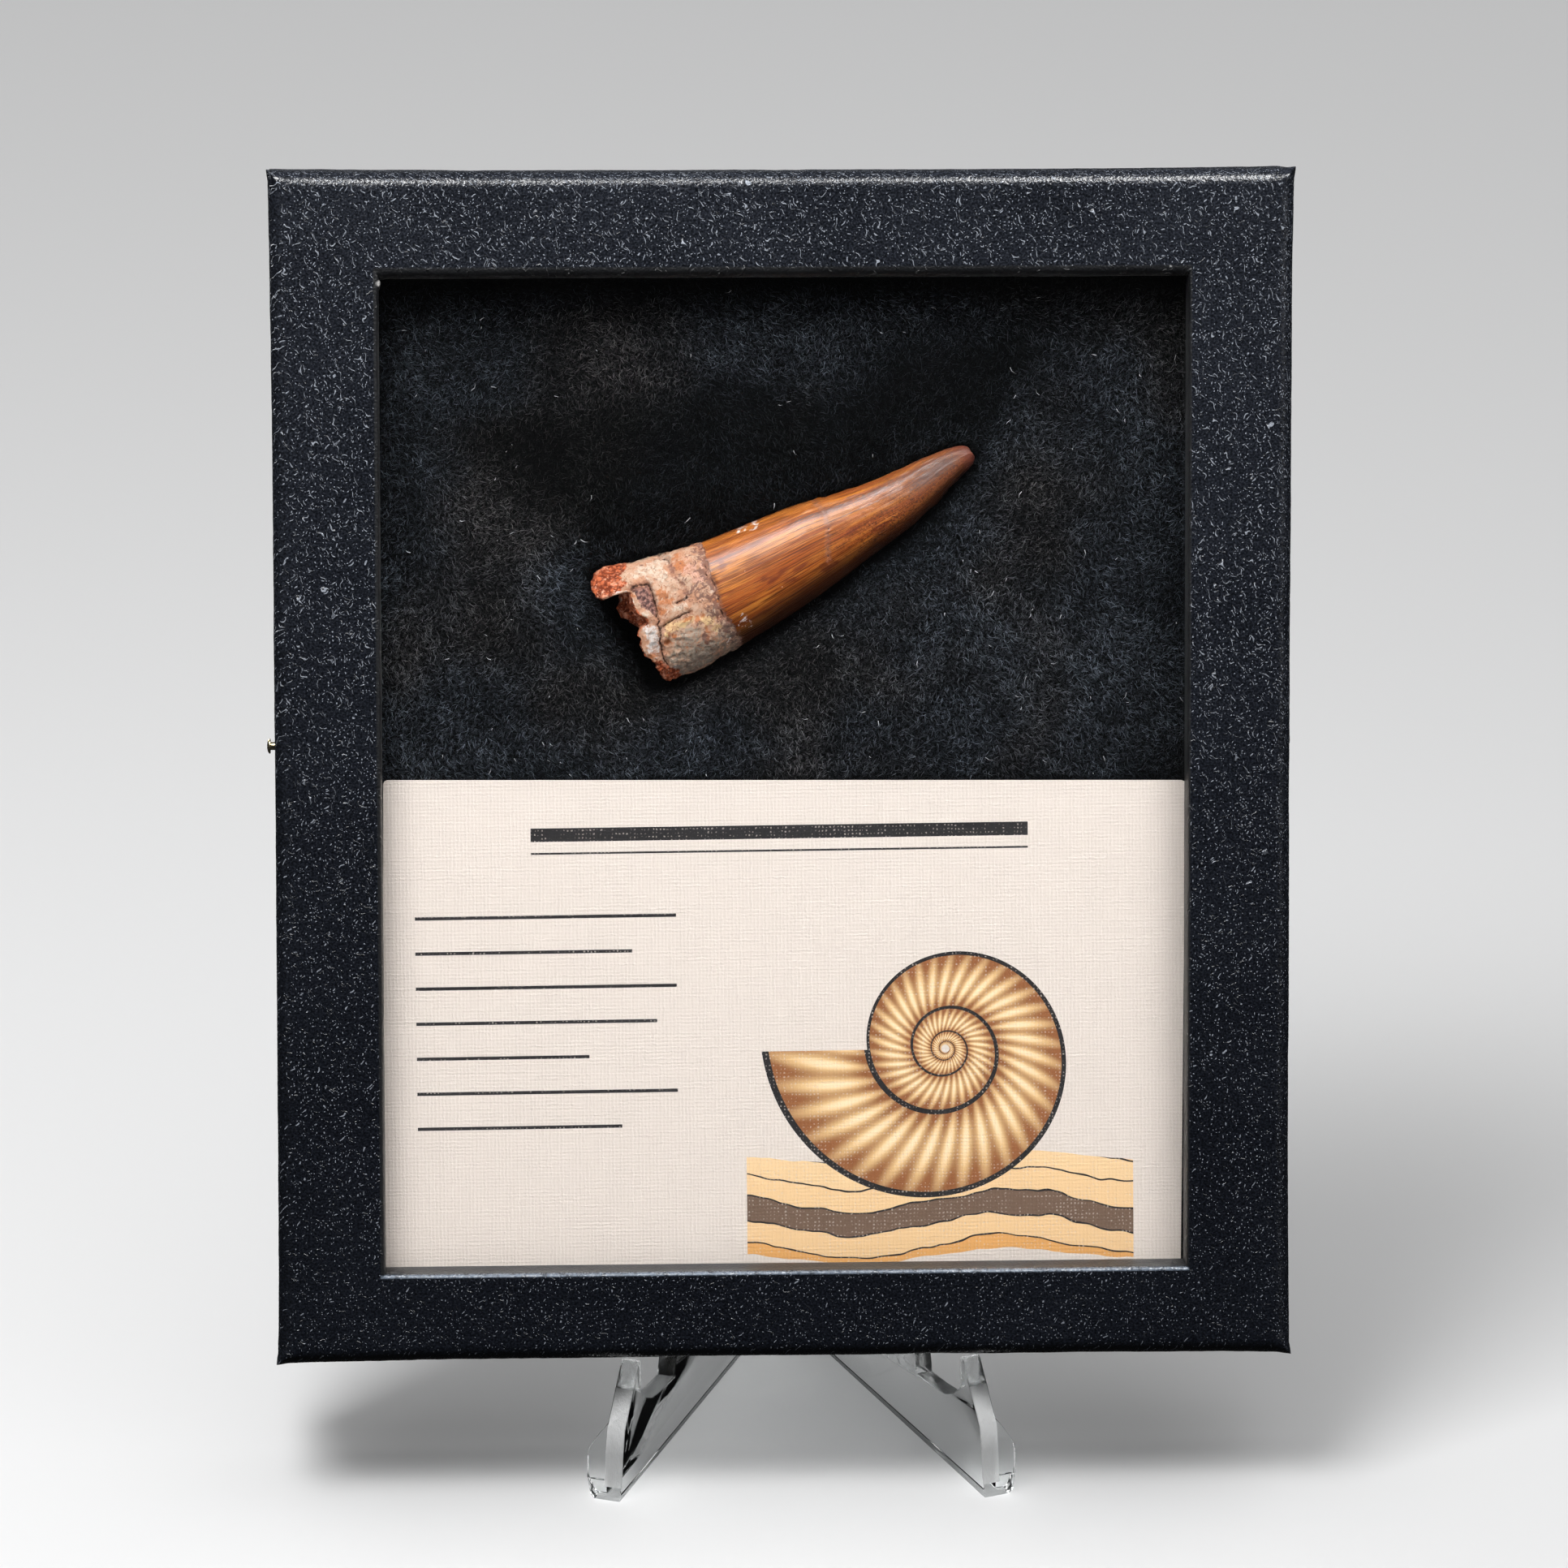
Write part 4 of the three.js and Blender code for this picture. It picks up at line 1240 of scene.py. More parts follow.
@dataclass
class Lid:
    """Paper-covered lid with a window, its corners folded and its covering loose."""

    pose: BoxPose
    width: float = 127.0
    height: float = 148.5
    depth: float = 20.0
    wall: float = 2.0
    board: float = 3.0
    edge: float = 2.0
    lip: float = 1.2
    low_lip: float = 0.55
    side_lip: float = 0.35
    shrink: float = 0.2
    window: Numbers = (-49.8, 50.0, 12.0, 135.0)
    draft: float = 0.06
    sill: float = 0.45
    pitch: float = 0.56
    sides: tuple[int, int] = (196, 236)
    hem: float = 0.3
    inner_row: float = 8.0
    front_rows: int = 19
    swell: float = 0.07
    ripple: float = 0.035
    fold: float = 0.34
    knot: float = 0.42
    nub: float = 0.38
    bow: float = 0.28
    top_slope: float = 0.268

    def _outer(self, inset: float, depth: float) -> Rect:
        """The lid's outline drawn in by an inset, at a depth."""
        inset += self.shrink
        half = self.width / 2 - inset
        return Rect(-half, half, inset, self.height - inset, depth)

    def _opening(self, side: float, low: float, high: float, depth: float) -> Rect:
        """The window's outline let out, at a depth."""
        left, right, bottom, top = self.window
        return Rect(left - side, right + side, bottom - low, top + high, depth)

    def _mouth(self, roll: float, depth: float) -> Rect:
        """The window's outline on its rolled lip, from 0 inside to 1 on the front."""
        side, low, high = self.side_lip * roll, self.low_lip * roll, self.lip * roll
        return self._opening(self.draft + side, self.sill + low, self.draft + high, depth)

    def _rings(self) -> list[np.ndarray]:
        """Every ring from the inside of the wall round the front to the lip."""
        rects = [self._outer(inset, depth) for inset, depth in (
            (self.wall, self.board), (self.wall, self.inner_row), (self.wall, self.depth - self.hem),
            (self.wall - self.hem, self.depth), (self.hem + 0.05, self.depth), (0.1, self.depth - 0.1),
        )]
        for depth in np.arange(self.depth - 0.4, self.edge + 0.2, -self.pitch):
            rects.append(self._outer(0.0, float(depth)))
        for step in range(7):
            angle = step / 6 * math.pi / 2
            rects.append(self._outer(self.edge * (1 - math.cos(angle)), self.edge * (1 - math.sin(angle))))
        outside, mouth = rects[-1], self._mouth(1.0, 0.0)
        for row in range(1, self.front_rows):
            t = row / self.front_rows
            rects.append(outside.toward(mouth, t))
        for step in range(6):
            angle = step / 5 * math.pi / 2
            rects.append(self._mouth(1 - math.sin(angle), self.lip * (1 - math.cos(angle))))
        for depth in (1.5, 2.2, 2.8):
            share = (self.board - depth) / (self.board - self.lip)
            rects.append(self._opening(self.draft * share, self.sill * share, self.draft * share, depth))
        rects += [self._opening(0.0, 0.0, 0.0, self.board), self._opening(6.0, 5.0, 6.0, self.board)]
        rects.append(self._outer(self.wall, self.board))
        return [rect.ring(self.sides) for rect in rects]

    def _cover(self, piece: Piece) -> None:
        """Lets the covering swell, wrinkle and peak at its folded corners."""
        points, normals = points_of(piece), normals_of(piece)
        x, y, z = points.T
        middle = self.height / 2
        inside = (np.abs(x) < self.width / 2 - 1.2) & (np.abs(z - middle) < middle - 1.2)
        loose = np.where((y > self.board - 0.05) & inside, 0.0, 1.0)
        swell = self.swell * layered_noise(points, 9.0, 2, 3) + self.ripple * layered_noise(points, 1.3, 2, 5)
        from_x = np.abs(x) - (self.width / 2 - self.shrink)
        from_z = np.abs(z - middle) - (middle - self.shrink)
        corner = np.hypot(from_x, from_z)
        diagonal = np.abs(from_x - from_z) / math.sqrt(2)
        fold = self.fold * bell(diagonal, 0.0, 0.45) * ease_step(corner, 4.0, 1.0) * ease_step(y, 5.0, 1.0)
        left, right, bottom, top = self.window
        for cx, size in ((left + 1.6, 1.0), (right - 1.9, 0.9)):
            knot = bell(x, cx, 1.1 * size) * bell(z, bottom - 0.2, 0.5) * bell(y, 1.2, 1.2)
            wrinkle = 0.7 + 0.5 * np.sin((x - cx) * 5.2)
            fold += self.knot * size * knot * wrinkle
        fold += self.nub * bell(x, left, 0.6) * bell(z, top - 0.5, 0.8) * bell(y, 1.0, 1.0)
        points = points + (loose * (swell + fold))[:, None] * normals
        bow_x = self.bow * (1 - (np.abs(z - middle) / middle) ** 4)
        bow_z = self.bow * (1 - (np.abs(x) / (self.width / 2)) ** 4)
        points[:, 0] -= loose * np.sign(x) * bow_x * ease_step(np.abs(x), 58.0, 63.0)
        points[:, 2] -= loose * np.sign(z - middle) * bow_z * ease_step(np.abs(z - middle), 69.0, 74.0)
        limit = self.width / 2
        points[:, 0] = np.clip(points[:, 0], -limit, limit)
        points[:, 1] = np.clip(points[:, 1], 0.0, self.depth)
        top_edge = np.minimum(self.height - 0.06, self.height - 0.5 + self.top_slope * points[:, 1])
        points[:, 2] = np.clip(points[:, 2], 0.0, top_edge)
        move_points(piece, points)

    def build(self, finish: Finish) -> Piece:
        """Grows the shell, covers it and puts it in place."""
        piece = grow_rings("covered_lid", self._rings(), closed=True)
        face_outwards(piece)
        self._cover(piece)
        settle(piece, self.pose.matrix(), 60.0)
        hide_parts("lid")
        dress(piece, "lid_cover", finish)
        return piece


@dataclass
class Tray:
    """Shallow tray inside the lid, its cut edges eased."""

    ease: float = 0.25

    def build(self, finish: Finish) -> Piece:
        """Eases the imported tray's edges."""
        piece = merged_copy("tray", "lined_tray")
        ease_edges(piece, self.ease, 50.0)
        settle(piece, None, 40.0)
        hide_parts("tray")
        dress(piece, "tray_board", finish)
        return piece


@dataclass
class Pin:
    """Small domed brass pin through the lid's wall; `side` is -1 or +1."""

    side: int
    pose: BoxPose
    head: float = 0.95
    rise: float = 0.45
    shaft: float = 0.5
    length: float = 9.0
    depth: float = 11.0
    level: float = 76.6
    face: float = 63.7
    brim: float = 0.12
    segments: int = 40

    def _profile(self) -> list[Spot]:
        """Radius and place along the pin, from its point to the top of its dome."""
        seat, brim = self.length, self.length + self.brim
        shaft = [(0.06, 0.0), (0.25, 0.6), (self.shaft, 1.6), (self.shaft, seat - 0.2), (self.shaft, seat)]
        head = [(self.head * 0.9, seat), (self.head, seat + self.brim / 2), (self.head, brim)]
        angles = [step / 7 * math.pi / 2 for step in range(1, 7)]
        dome = [(self.head * math.cos(a), brim + (self.rise - self.brim) * math.sin(a)) for a in angles]
        return shaft + head + dome

    def build(self, finish: Finish) -> Piece:
        """Turns the pin along its own length and drives it in."""
        turn = np.arange(self.segments) / self.segments * 2 * math.pi
        rings = []
        for radius, along in self._profile():
            x = np.full(self.segments, self.side * (self.face - self.length + along))
            around = [self.depth + radius * np.cos(turn), self.level + radius * np.sin(turn)]
            rings.append(columns(x, *around))
        piece = grow_rings("brass_pin_left" if self.side < 0 else "brass_pin_right", rings, closed=False)
        with editing(piece):
            select_mesh()
            bpy.ops.mesh.fill_holes(sides=0)
        face_outwards(piece)
        settle(piece, self.pose.matrix(), 35.0)
        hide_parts("pin_left" if self.side < 0 else "pin_right")
        dress(piece, "pin_metal", finish)
        return piece


# --- tooth


# where each tone of the tooth lies: along, across and its two reaches, in millimetres
STAINS: dict[str, tuple[Numbers, ...]] = {
    "blush": (
        (19.1, -2.5, 1.2, 0.6), (18.2, -1.7, 0.8, 0.4), (20.7, -2.2, 1.1, 0.5), (22.8, -2.7, 1.4, 0.6),
        (21.2, -3.6, 1.3, 0.5), (30.5, -1.5, 1.5, 0.6), (34.0, -2.6, 1.6, 0.8), (14.2, 2.0, 0.7, 0.9),
        (26.0, -4.2, 1.6, 0.7),
    ),
    "pink": (
        (10.3, 3.3, 1.3, 1.3), (12.3, 2.6, 0.5, 1.2), (4.1, 1.5, 0.5, 1.2), (10.8, 1.8, 0.8, 0.8),
    ),
    "cream": (
        (8.0, 5.8, 1.1, 0.6), (6.4, 5.3, 1.5, 1.0), (6.9, 4.3, 0.8, 0.8), (7.1, 0.0, 0.9, 0.55),
        (8.3, 0.4, 0.7, 0.4), (4.6, 5.6, 1.3, 0.8), (3.3, 0.7, 0.4, 0.5), (11.8, -0.25, 0.5, 0.5),
        (11.3, -1.9, 0.4, 0.4), (10.8, -2.5, 0.35, 0.35), (5.3, 4.1, 0.5, 0.6),
    ),
    "ochre": (
        (5.3, -2.0, 1.0, 0.5), (6.3, -2.1, 1.2, 0.7), (7.3, -2.2, 0.9, 0.6), (4.1, -2.4, 0.4, 0.5),
        (9.5, -3.4, 1.0, 0.8), (10.3, -4.6, 0.8, 0.6),
    ),
    "grey": (
        (6.4, -4.3, 2.2, 1.2), (6.5, -5.9, 2.6, 1.2), (4.0, -5.6, 1.2, 0.9), (8.2, -6.6, 1.8, 1.2),
        (10.6, -6.0, 1.3, 1.2), (6.0, -7.6, 3.5, 1.2), (8.6, 5.5, 0.3, 0.8),
    ),
    "white": (
        (2.6, -1.6, 0.8, 1.3), (2.0, -3.3, 0.9, 1.3), (2.3, -2.6, 0.8, 1.0), (3.4, -6.9, 0.7, 0.3),
        (2.0, 3.2, 0.6, 0.9), (0.4, 5.2, 0.9, 0.35),
    ),
    "rusty": (
        (9.6, 5.3, 0.6, 0.5), (9.5, 4.1, 0.9, 0.8), (6.0, 2.2, 0.8, 0.7), (6.2, 1.2, 0.9, 0.5),
        (5.0, 0.3, 0.6, 0.5), (7.5, -2.0, 0.9, 0.35), (8.9, -2.8, 0.8, 0.5), (11.0, -3.6, 0.6, 0.5),
        (12.0, -3.0, 0.6, 0.6), (4.5, -2.6, 0.45, 0.4), (5.1, -3.2, 0.4, 0.35), (5.9, -5.0, 0.35, 0.25),
        (8.4, -5.6, 0.35, 0.4), (12.4, 5.2, 0.6, 0.4), (1.6, -4.2, 0.8, 0.5), (8.9, -4.6, 0.3, 0.8),
        (11.4, -1.0, 0.5, 0.9), (3.8, -3.65, 0.6, 0.6), (2.7, 3.6, 0.5, 0.4),
    ),
    "stain": (
        (11.4, 1.5, 0.7, 0.7), (10.1, 1.0, 0.8, 0.5), (9.2, 0.7, 0.6, 0.4), (12.75, 3.2, 0.35, 1.3),
        (13.3, 4.4, 0.4, 1.0), (12.0, 2.1, 0.5, 0.6), (8.85, 2.6, 0.3, 0.8), (8.4, 4.2, 0.3, 0.8),
        (10.8, -2.9, 0.7, 0.4), (12.1, -3.7, 0.5, 0.8), (10.0, -0.6, 0.7, 0.5), (8.6, -3.3, 0.5, 0.5),
        (10.9, -5.0, 0.9, 0.5), (8.4, -5.0, 0.3, 1.2), (11.0, -6.2, 0.7, 0.5),
    ),
}


@dataclass
class Tooth:
    """The tooth: worn crown, cracked root, broken end with iron-red matrix."""

    pose: BoxPose
    origin: Spot = (-19.4, 91.15)
    rise: float = math.radians(26.4)
    front: float = 5.35
    segments: int = 36
    stations: tuple[Numbers, ...] = (
        # along, upper edge, lower edge, half depth
        (-0.6, 8.0, -8.1, 4.95), (0.2, 8.15, -8.35, 5.1), (1.2, 7.95, -8.45, 5.2), (2.4, 7.65, -8.55, 5.25),
        (4.0, 7.2, -8.75, 5.3), (6.0, 6.75, -8.85, 5.35), (9.0, 6.1, -8.7, 5.4), (12.0, 5.5, -8.45, 5.4),
        (15.0, 5.2, -8.25, 5.3), (18.0, 4.95, -7.95, 5.15), (21.5, 4.65, -7.5, 4.95),
        (25.0, 4.4, -6.95, 4.65), (27.5, 4.0, -6.5, 4.35), (30.0, 3.5, -5.95, 4.0),
        (33.5, 2.95, -5.25, 3.5), (36.7, 2.65, -4.8, 3.15), (39.5, 2.5, -4.05, 2.8),
        (42.0, 2.55, -3.2, 2.4), (44.5, 2.4, -2.1, 1.95), (46.6, 2.1, -1.35, 1.5),
        (47.6, 1.85, -0.95, 1.25), (48.15, 1.45, -0.5, 0.95), (48.35, 1.1, -0.15, 0.7),
    )
    # height off the axis and where the broken end lies along it
    broken_end: Line = (
        (-8.9, 2.1), (-8.2, 1.8), (-7.3, 1.43), (-5.7, 1.35), (-4.6, 1.08), (-3.7, 0.76), (-2.75, 0.77),
        (-1.75, 1.04), (-0.9, 0.95), (0.0, 0.15), (1.1, 0.0), (2.4, 0.15), (3.3, 0.35), (4.1, 0.8),
        (4.5, 0.6), (4.85, -0.84), (5.4, -1.45), (6.4, -1.43), (7.3, -1.0), (7.8, -0.5), (8.3, 0.3),
        (8.6, 0.8),
    )
    cracks: tuple[Line, ...] = (
        (
            (5.1, 3.9), (5.0, 2.85), (4.8, 1.6), (4.55, 0.6), (4.1, -0.1), (4.25, -0.65), (3.8, -1.1),
            (3.8, -1.8), (3.6, -2.45), (3.1, -3.0), (3.05, -3.75), (2.7, -4.6), (2.55, -5.45), (2.7, -6.2),
        ),
        (
            (3.7, -1.7), (4.45, -1.6), (4.75, -1.45), (5.55, -1.4), (6.5, -1.4), (7.3, -1.35),
            (8.15, -1.45),
        ),
        (
            (7.85, 6.7), (8.0, 6.05), (8.65, 5.6), (8.5, 4.9), (8.35, 4.1), (8.45, 3.25), (8.85, 2.15),
            (8.85, 1.1), (8.55, 0.25), (7.7, 0.33), (7.0, 0.33),
        ),
        (
            (12.6, 4.75), (12.65, 3.95), (12.6, 3.2), (12.25, 2.45), (12.0, 1.7), (12.35, 0.85),
            (12.3, 0.05), (12.15, -1.1), (11.8, -2.3), (11.6, -3.55), (11.9, -4.6),
        ),
        ((5.1, 4.0), (4.1, 4.5), (3.05, 4.65), (2.6, 4.5)),
    )
    faint_crack: Line = ((26.4, -3.4), (27.0, -2.0), (27.7, -0.7), (28.3, 0.4), (28.4, 2.2), (28.2, 3.6))
    crown_line: Line = (
        (13.6, 6.5), (13.43, 5.49), (12.84, 3.41), (12.53, 2.1), (12.48, 0.88), (12.39, 0.02),
        (12.07, -1.29), (11.84, -2.65), (11.89, -3.69), (12.07, -4.91), (12.2, -6.22), (12.42, -7.36),
        (12.3, -9.0),
    )
    rust_patch: Line = (
        (-2.0, 9.5), (0.14, 9.2), (1.62, 8.6), (3.11, 7.9), (3.97, 7.27), (3.34, 6.68), (2.75, 6.64),
        (2.3, 6.41), (2.48, 5.64), (2.79, 5.14), (2.11, 4.92), (1.3, 4.8), (-3.0, 4.6),
    )
    porous_patch: Line = (
        (-0.5, 4.3), (0.9, 3.7), (1.4, 2.85), (1.95, 1.85), (2.65, 0.9), (3.2, 0.1), (2.75, -0.55),
        (2.0, -0.5), (1.1, -0.7), (-0.5, -0.9),
    )
    low_rust: Line = (
        (0.2, -4.5), (1.6, -4.8), (2.3, -5.4), (2.9, -6.6), (3.7, -7.5), (3.4, -10.0), (0.0, -10.0),
    )
    chip_patch: Line = (
        (3.06, 4.59), (4.1, 4.41), (5.09, 3.91), (5.0, 2.83), (4.81, 1.56), (4.45, 0.61), (4.0, 0.16),
        (3.73, 0.97), (3.01, 1.79), (3.1, 2.88), (3.01, 3.82), (2.65, 4.46),
    )
    # along, across and radius of the chalky rings
    chalk_rings: tuple[Place, ...] = (
        (13.75, -5.15, 0.42), (13.35, -5.95, 0.4), (14.05, -6.2, 0.38), (13.7, -5.6, 0.25),
        (19.7, 4.5, 0.5), (18.6, 4.7, 0.4), (20.6, 4.6, 0.3), (18.0, 4.9, 0.2), (10.9, -6.8, 0.4),
        (10.6, -7.5, 0.3),
    )
    pit: Spot = (3.85, -3.65)
    crack_depth: float = 0.26
    chip_depth: float = 0.34
    pit_depth: float = 0.4

    def placed(self, along: np.ndarray, across: np.ndarray, depth: np.ndarray) -> np.ndarray:
        """Points of the tooth's own frame in the box's millimetres."""
        cos, sin = math.cos(self.rise), math.sin(self.rise)
        x = self.origin[0] + along * cos - across * sin
        z = self.origin[1] + along * sin + across * cos
        return columns(x, depth, z)

    def own_frame(self, points: np.ndarray) -> tuple[np.ndarray, np.ndarray, np.ndarray]:
        """Along, across and depth of points given in the box's millimetres."""
        cos, sin = math.cos(self.rise), math.sin(self.rise)
        dx, dz = points[:, 0] - self.origin[0], points[:, 2] - self.origin[1]
        return dx * cos + dz * sin, dz * cos - dx * sin, points[:, 1]

    def section(self, along: np.ndarray) -> tuple[np.ndarray, np.ndarray, np.ndarray, np.ndarray]:
        """Middle, half width, half depth and axis depth at places along the tooth."""
        table = np.array(self.stations)
        upper, lower, half = (np.interp(along, table[:, 0], table[:, k]) for k in (1, 2, 3))
        axis = self.front + half + 0.02 * np.maximum(0, along - 13)
        return (upper + lower) / 2, (upper - lower) / 2, half, axis

    def outline(self) -> list[Spot]:
        """The tooth's silhouette in the box's face, across and up."""
        table = np.array(self.stations)
        along = np.concatenate([table[:, 0], table[::-1, 0]])
        across = np.concatenate([table[:, 1], table[::-1, 2]])
        flat = self.placed(along, across, np.zeros(len(along)))
        return [(float(p[0]), float(p[2])) for p in flat]

    def _form(self) -> Piece:
        """Extrudes the smooth form, closes its ends and refines it."""
        turn = np.arange(self.segments) / self.segments * 2 * math.pi
        rings = []
        for along, *_ in self.stations:
            u = np.full(self.segments, along)
            middle, width, half, axis = self.section(u)
            rings.append(columns(u, middle + width * np.sin(turn), axis - half * np.cos(turn)))
        piece = grow_rings("fossil_tooth", rings, closed=False)
        with editing(piece):
            bpy.ops.mesh.select_all(action="DESELECT")
            bpy.ops.mesh.select_mode(type="EDGE")
            bpy.ops.mesh.select_non_manifold()
            bpy.ops.mesh.edge_face_add()
            pick_faces(piece, lambda face: len(face.verts) > 8)
            for thickness in (0.35, 0.9, 1.3, 1.3, 0.9):
                bpy.ops.mesh.inset(thickness=thickness, depth=0.0, use_even_offset=False)
                pick_faces(piece, lambda face: len(face.verts) > 8 and face.calc_center_median().x < 20)
        face_outwards(piece)
        apply_modifier(piece, "SUBSURF", levels=3, render_levels=3)
        return piece

    def _break(self, piece: Piece) -> None:
        """Snaps the root end off along its ragged line and carves the surface."""
        points = points_of(piece)
        along, across, depth = points.T
        middle, width, half, axis = self.section(along)
        facing = np.clip((axis - depth) / half, -1, 1)
        table = np.array(self.broken_end)
        ragged = 0.28 * layered_noise(columns(across, depth), 1.6, 3, 11)
        end = np.interp(across, table[:, 0], table[:, 1]) + 0.6 + ragged
        slope = ease_step(across, -1.1, 0.2) * ease_step(across, 4.7, 3.9)
        end = end + 2.1 * slope * ease_step(facing, 0.1, 0.95) + 0.7 * ease_step(-facing, 0.3, 1.0)
        hollow = np.clip(1 - ((across - middle) / width) ** 2 - facing**2, 0, 1)
        end = end + 0.9 * hollow * ease_step(across, 5.2, 4.2)
        fade = 1 - ease_step(along, -0.6, 6.5)
        points[:, 0] = along + end * fade
        move_points(piece, points)

    def _carve(self, piece: Piece) -> None:
        """Adds lumps, grains, plates, cracks and striae along the normals."""
        points, normals = points_of(piece), normals_of(piece)
        along, across, depth = points.T
        middle, width, half, axis = self.section(along)
        facing = np.clip((axis - depth) / half, -1, 1)
        flat = columns(along, across)
        seen = ease_step(facing, -0.05, 0.2)
        crown = along - np.interp(across, *np.array(self.crown_line)[::-1].T[::-1])
        end_face = ease_step(-normals[:, 0], 0.35, 0.7) * (along < 5.5)
        porous = np.where(facing > -0.2, area_distance(flat, self.porous_patch), 9.0)
        rust = np.minimum(area_distance(flat, self.rust_patch), np.where(end_face > 0.4, -0.6, 9.0))
        rust = np.minimum(np.minimum(rust, porous), area_distance(flat, self.low_rust))
        chip = np.where(facing > 0, area_distance(flat, self.chip_patch), 9.0)
        crack = np.full(len(points), 9.0)
        for line in self.cracks:
            crack = np.minimum(crack, line_distance(flat, line))
        crack = np.where(facing > -0.1, crack, 9.0)
        faint = line_distance(flat, self.faint_crack) + 0.03
        crack = np.minimum(crack, np.where(facing > 0, faint, 9.0))
        on_root = ease_step(crown, 0.15, -0.15)
        on_rust = ease_step(rust, 0.25, -0.25)
        lift = 0.05 * layered_noise(points, 3.0, 3, 21) + 0.05 * layered_noise(points, 9.0, 2, 23)
        lift += on_root * (0.09 * layered_noise(points, 1.1, 3, 25) - 0.08)
        lift += on_rust * (0.30 * layered_noise(points, 1.5, 4, 27) + 0.05)
        lift -= self.chip_depth * ease_step(chip, 0.12, -0.18) * seen
        lift -= ease_step(porous, 0.2, -0.5) * (0.5 + 0.7 * np.abs(layered_noise(points, 1.5, 2, 37)))
        some = np.flatnonzero((on_root > 0) | (on_rust > 0))
        part = points[some]
        grains = 0.42 * grain_noise(part, 0.85, 35) + 0.2 * grain_noise(part, 0.4, 36) - 0.32
        grains = grains * (0.4 + 0.6 * ease_step(across[some], 5.4, 4.6))
        stirred = part + 0.5 * columns(*(layered_noise(part, 1.4, 3, seed) for seed in (51, 52, 53)))
        plates = 0.10 * nearest_seat(stirred, 2.1, 38)[1] + 0.07 * nearest_seat(stirred, 0.8, 44)[1]
        plates = plates + 0.12 * grain_noise(part, 0.5, 39) + 0.12 * layered_noise(part, 0.8, 3, 45)
        lift[some] += on_rust[some] * grains + (on_root * (1 - on_rust))[some] * plates
        lift -= self.crack_depth * bell(crack, 0.0, 0.16) + 0.05 * bell(crack, 0.0, 0.5) * on_root
        pit = np.hypot(along - self.pit[0], across - self.pit[1])
        lift -= self.pit_depth * ease_step(pit, 0.5, 0.2) * seen
        angle = np.arctan2((across - middle) / width, facing)
        stria = layered_noise(columns(along * 0.05, angle * 9.0), 1.0, 3, 31)
        facet = layered_noise(columns(along * 0.02, angle * 1.6), 1.0, 2, 32)
        lift += (1 - on_root) * (0.03 * stria + 0.12 * facet)
        worn = ease_step(along, 20.0, 40.0) * (1 - on_root)
        lift += worn * 0.11 * layered_noise(points, 2.0, 3, 33)
        lift += worn * 0.07 * layered_noise(points, 0.8, 2, 34)
        rim = bell((across - middle) / width, 0.92, 0.16) * bell(along, 28.5, 7.0)
        lift += rim * 0.16 * layered_noise(points, 0.9, 2, 40)
        move_points(piece, points + lift[:, None] * normals)
        drift_u, drift_v = (0.55 * layered_noise(points, 1.3, 3, seed) for seed in (54, 55))
        chalk = np.full(len(points), 9.0)
        for u, v, ring in self.chalk_rings:
            away = np.hypot(along + 0.9 * drift_u - u, (across + 0.9 * drift_v - v) * 1.2)
            chalk = np.minimum(chalk, np.abs(away - ring) - 0.02)
        share = (across - middle) / width
        band = 0.85 * bell(share, 0.25, 0.5) * ease_step(along, 35.0, 43.0)
        band = band * (1 - 0.6 * ease_step(along, 45.0, 47.5))
        above = 0.6 * bell(share, 0.68, 0.13) * ease_step(along, 20.0, 29.0)
        masks = {
            "crown_edge": crown,
            "rust_edge": rust,
            "chip_edge": chip,
            "crack": crack,
            "chalk": np.where(facing > 0, chalk, 9.0),
            # painted shadow of the knob on the matrix below it
            "knob_shadow": ease_step(across, 5.0, 3.6) * ease_step(rust, 0.0, -0.4),
            # painted shade on the tooth's lower side, for crown and root
            "under": 0.95 * ease_step(share, -0.2, -0.88),
            "gloss": ease_step(share, -0.5, 0.2),
            "worn": ease_step(along, 22.0, 38.0) * (0.35 + 0.65 * ease_step(share, 0.5, -0.3)),
            "dusk": np.maximum(band, above),
            "late": ease_step(along, 33.0, 45.0),
            "tip": ease_step(along + 0.2 * across, 45.5, 48.2),
        }
        for name, spots in STAINS.items():
            cover = np.zeros(len(points))
            for u, v, ru, rv in spots:
                cover = np.maximum(cover, bell(along + drift_u, u, ru) * bell(across + drift_v, v, rv))
            masks[name] = cover
        masks["grain"] = columns(along, 3.2 * np.cos(angle), 3.2 * np.sin(angle))
        for name, values in masks.items():
            store(piece, name, values)

    def build(self, finish: Finish) -> Piece:
        """Forms, breaks and carves the tooth, then lays it in the box."""
        piece = self._form()
        self._break(piece)
        self._carve(piece)
        points = points_of(piece)
        move_points(piece, self.placed(*points.T[:2], points[:, 2]))
        face_outwards(piece)
        settle(piece, self.pose.matrix(), 70.0)
        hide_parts("tooth")
        dress(piece, "fossil_enamel", finish)
        return piece


# --- fibre pad


@dataclass(frozen=True)
class HairCut:
    """How strips are cut: shortest and longest, width at the root, and sideways bend as a share of length."""

    length: Range
    width: float
    curl: float


@dataclass(frozen=True)
class NapLayer:
    """One layer of the nap: its hairs, how brightly they take light, and the lint among them."""

    name: str
    count: int
    hair: HairCut
    tone: float
    lint: int
    seed: int


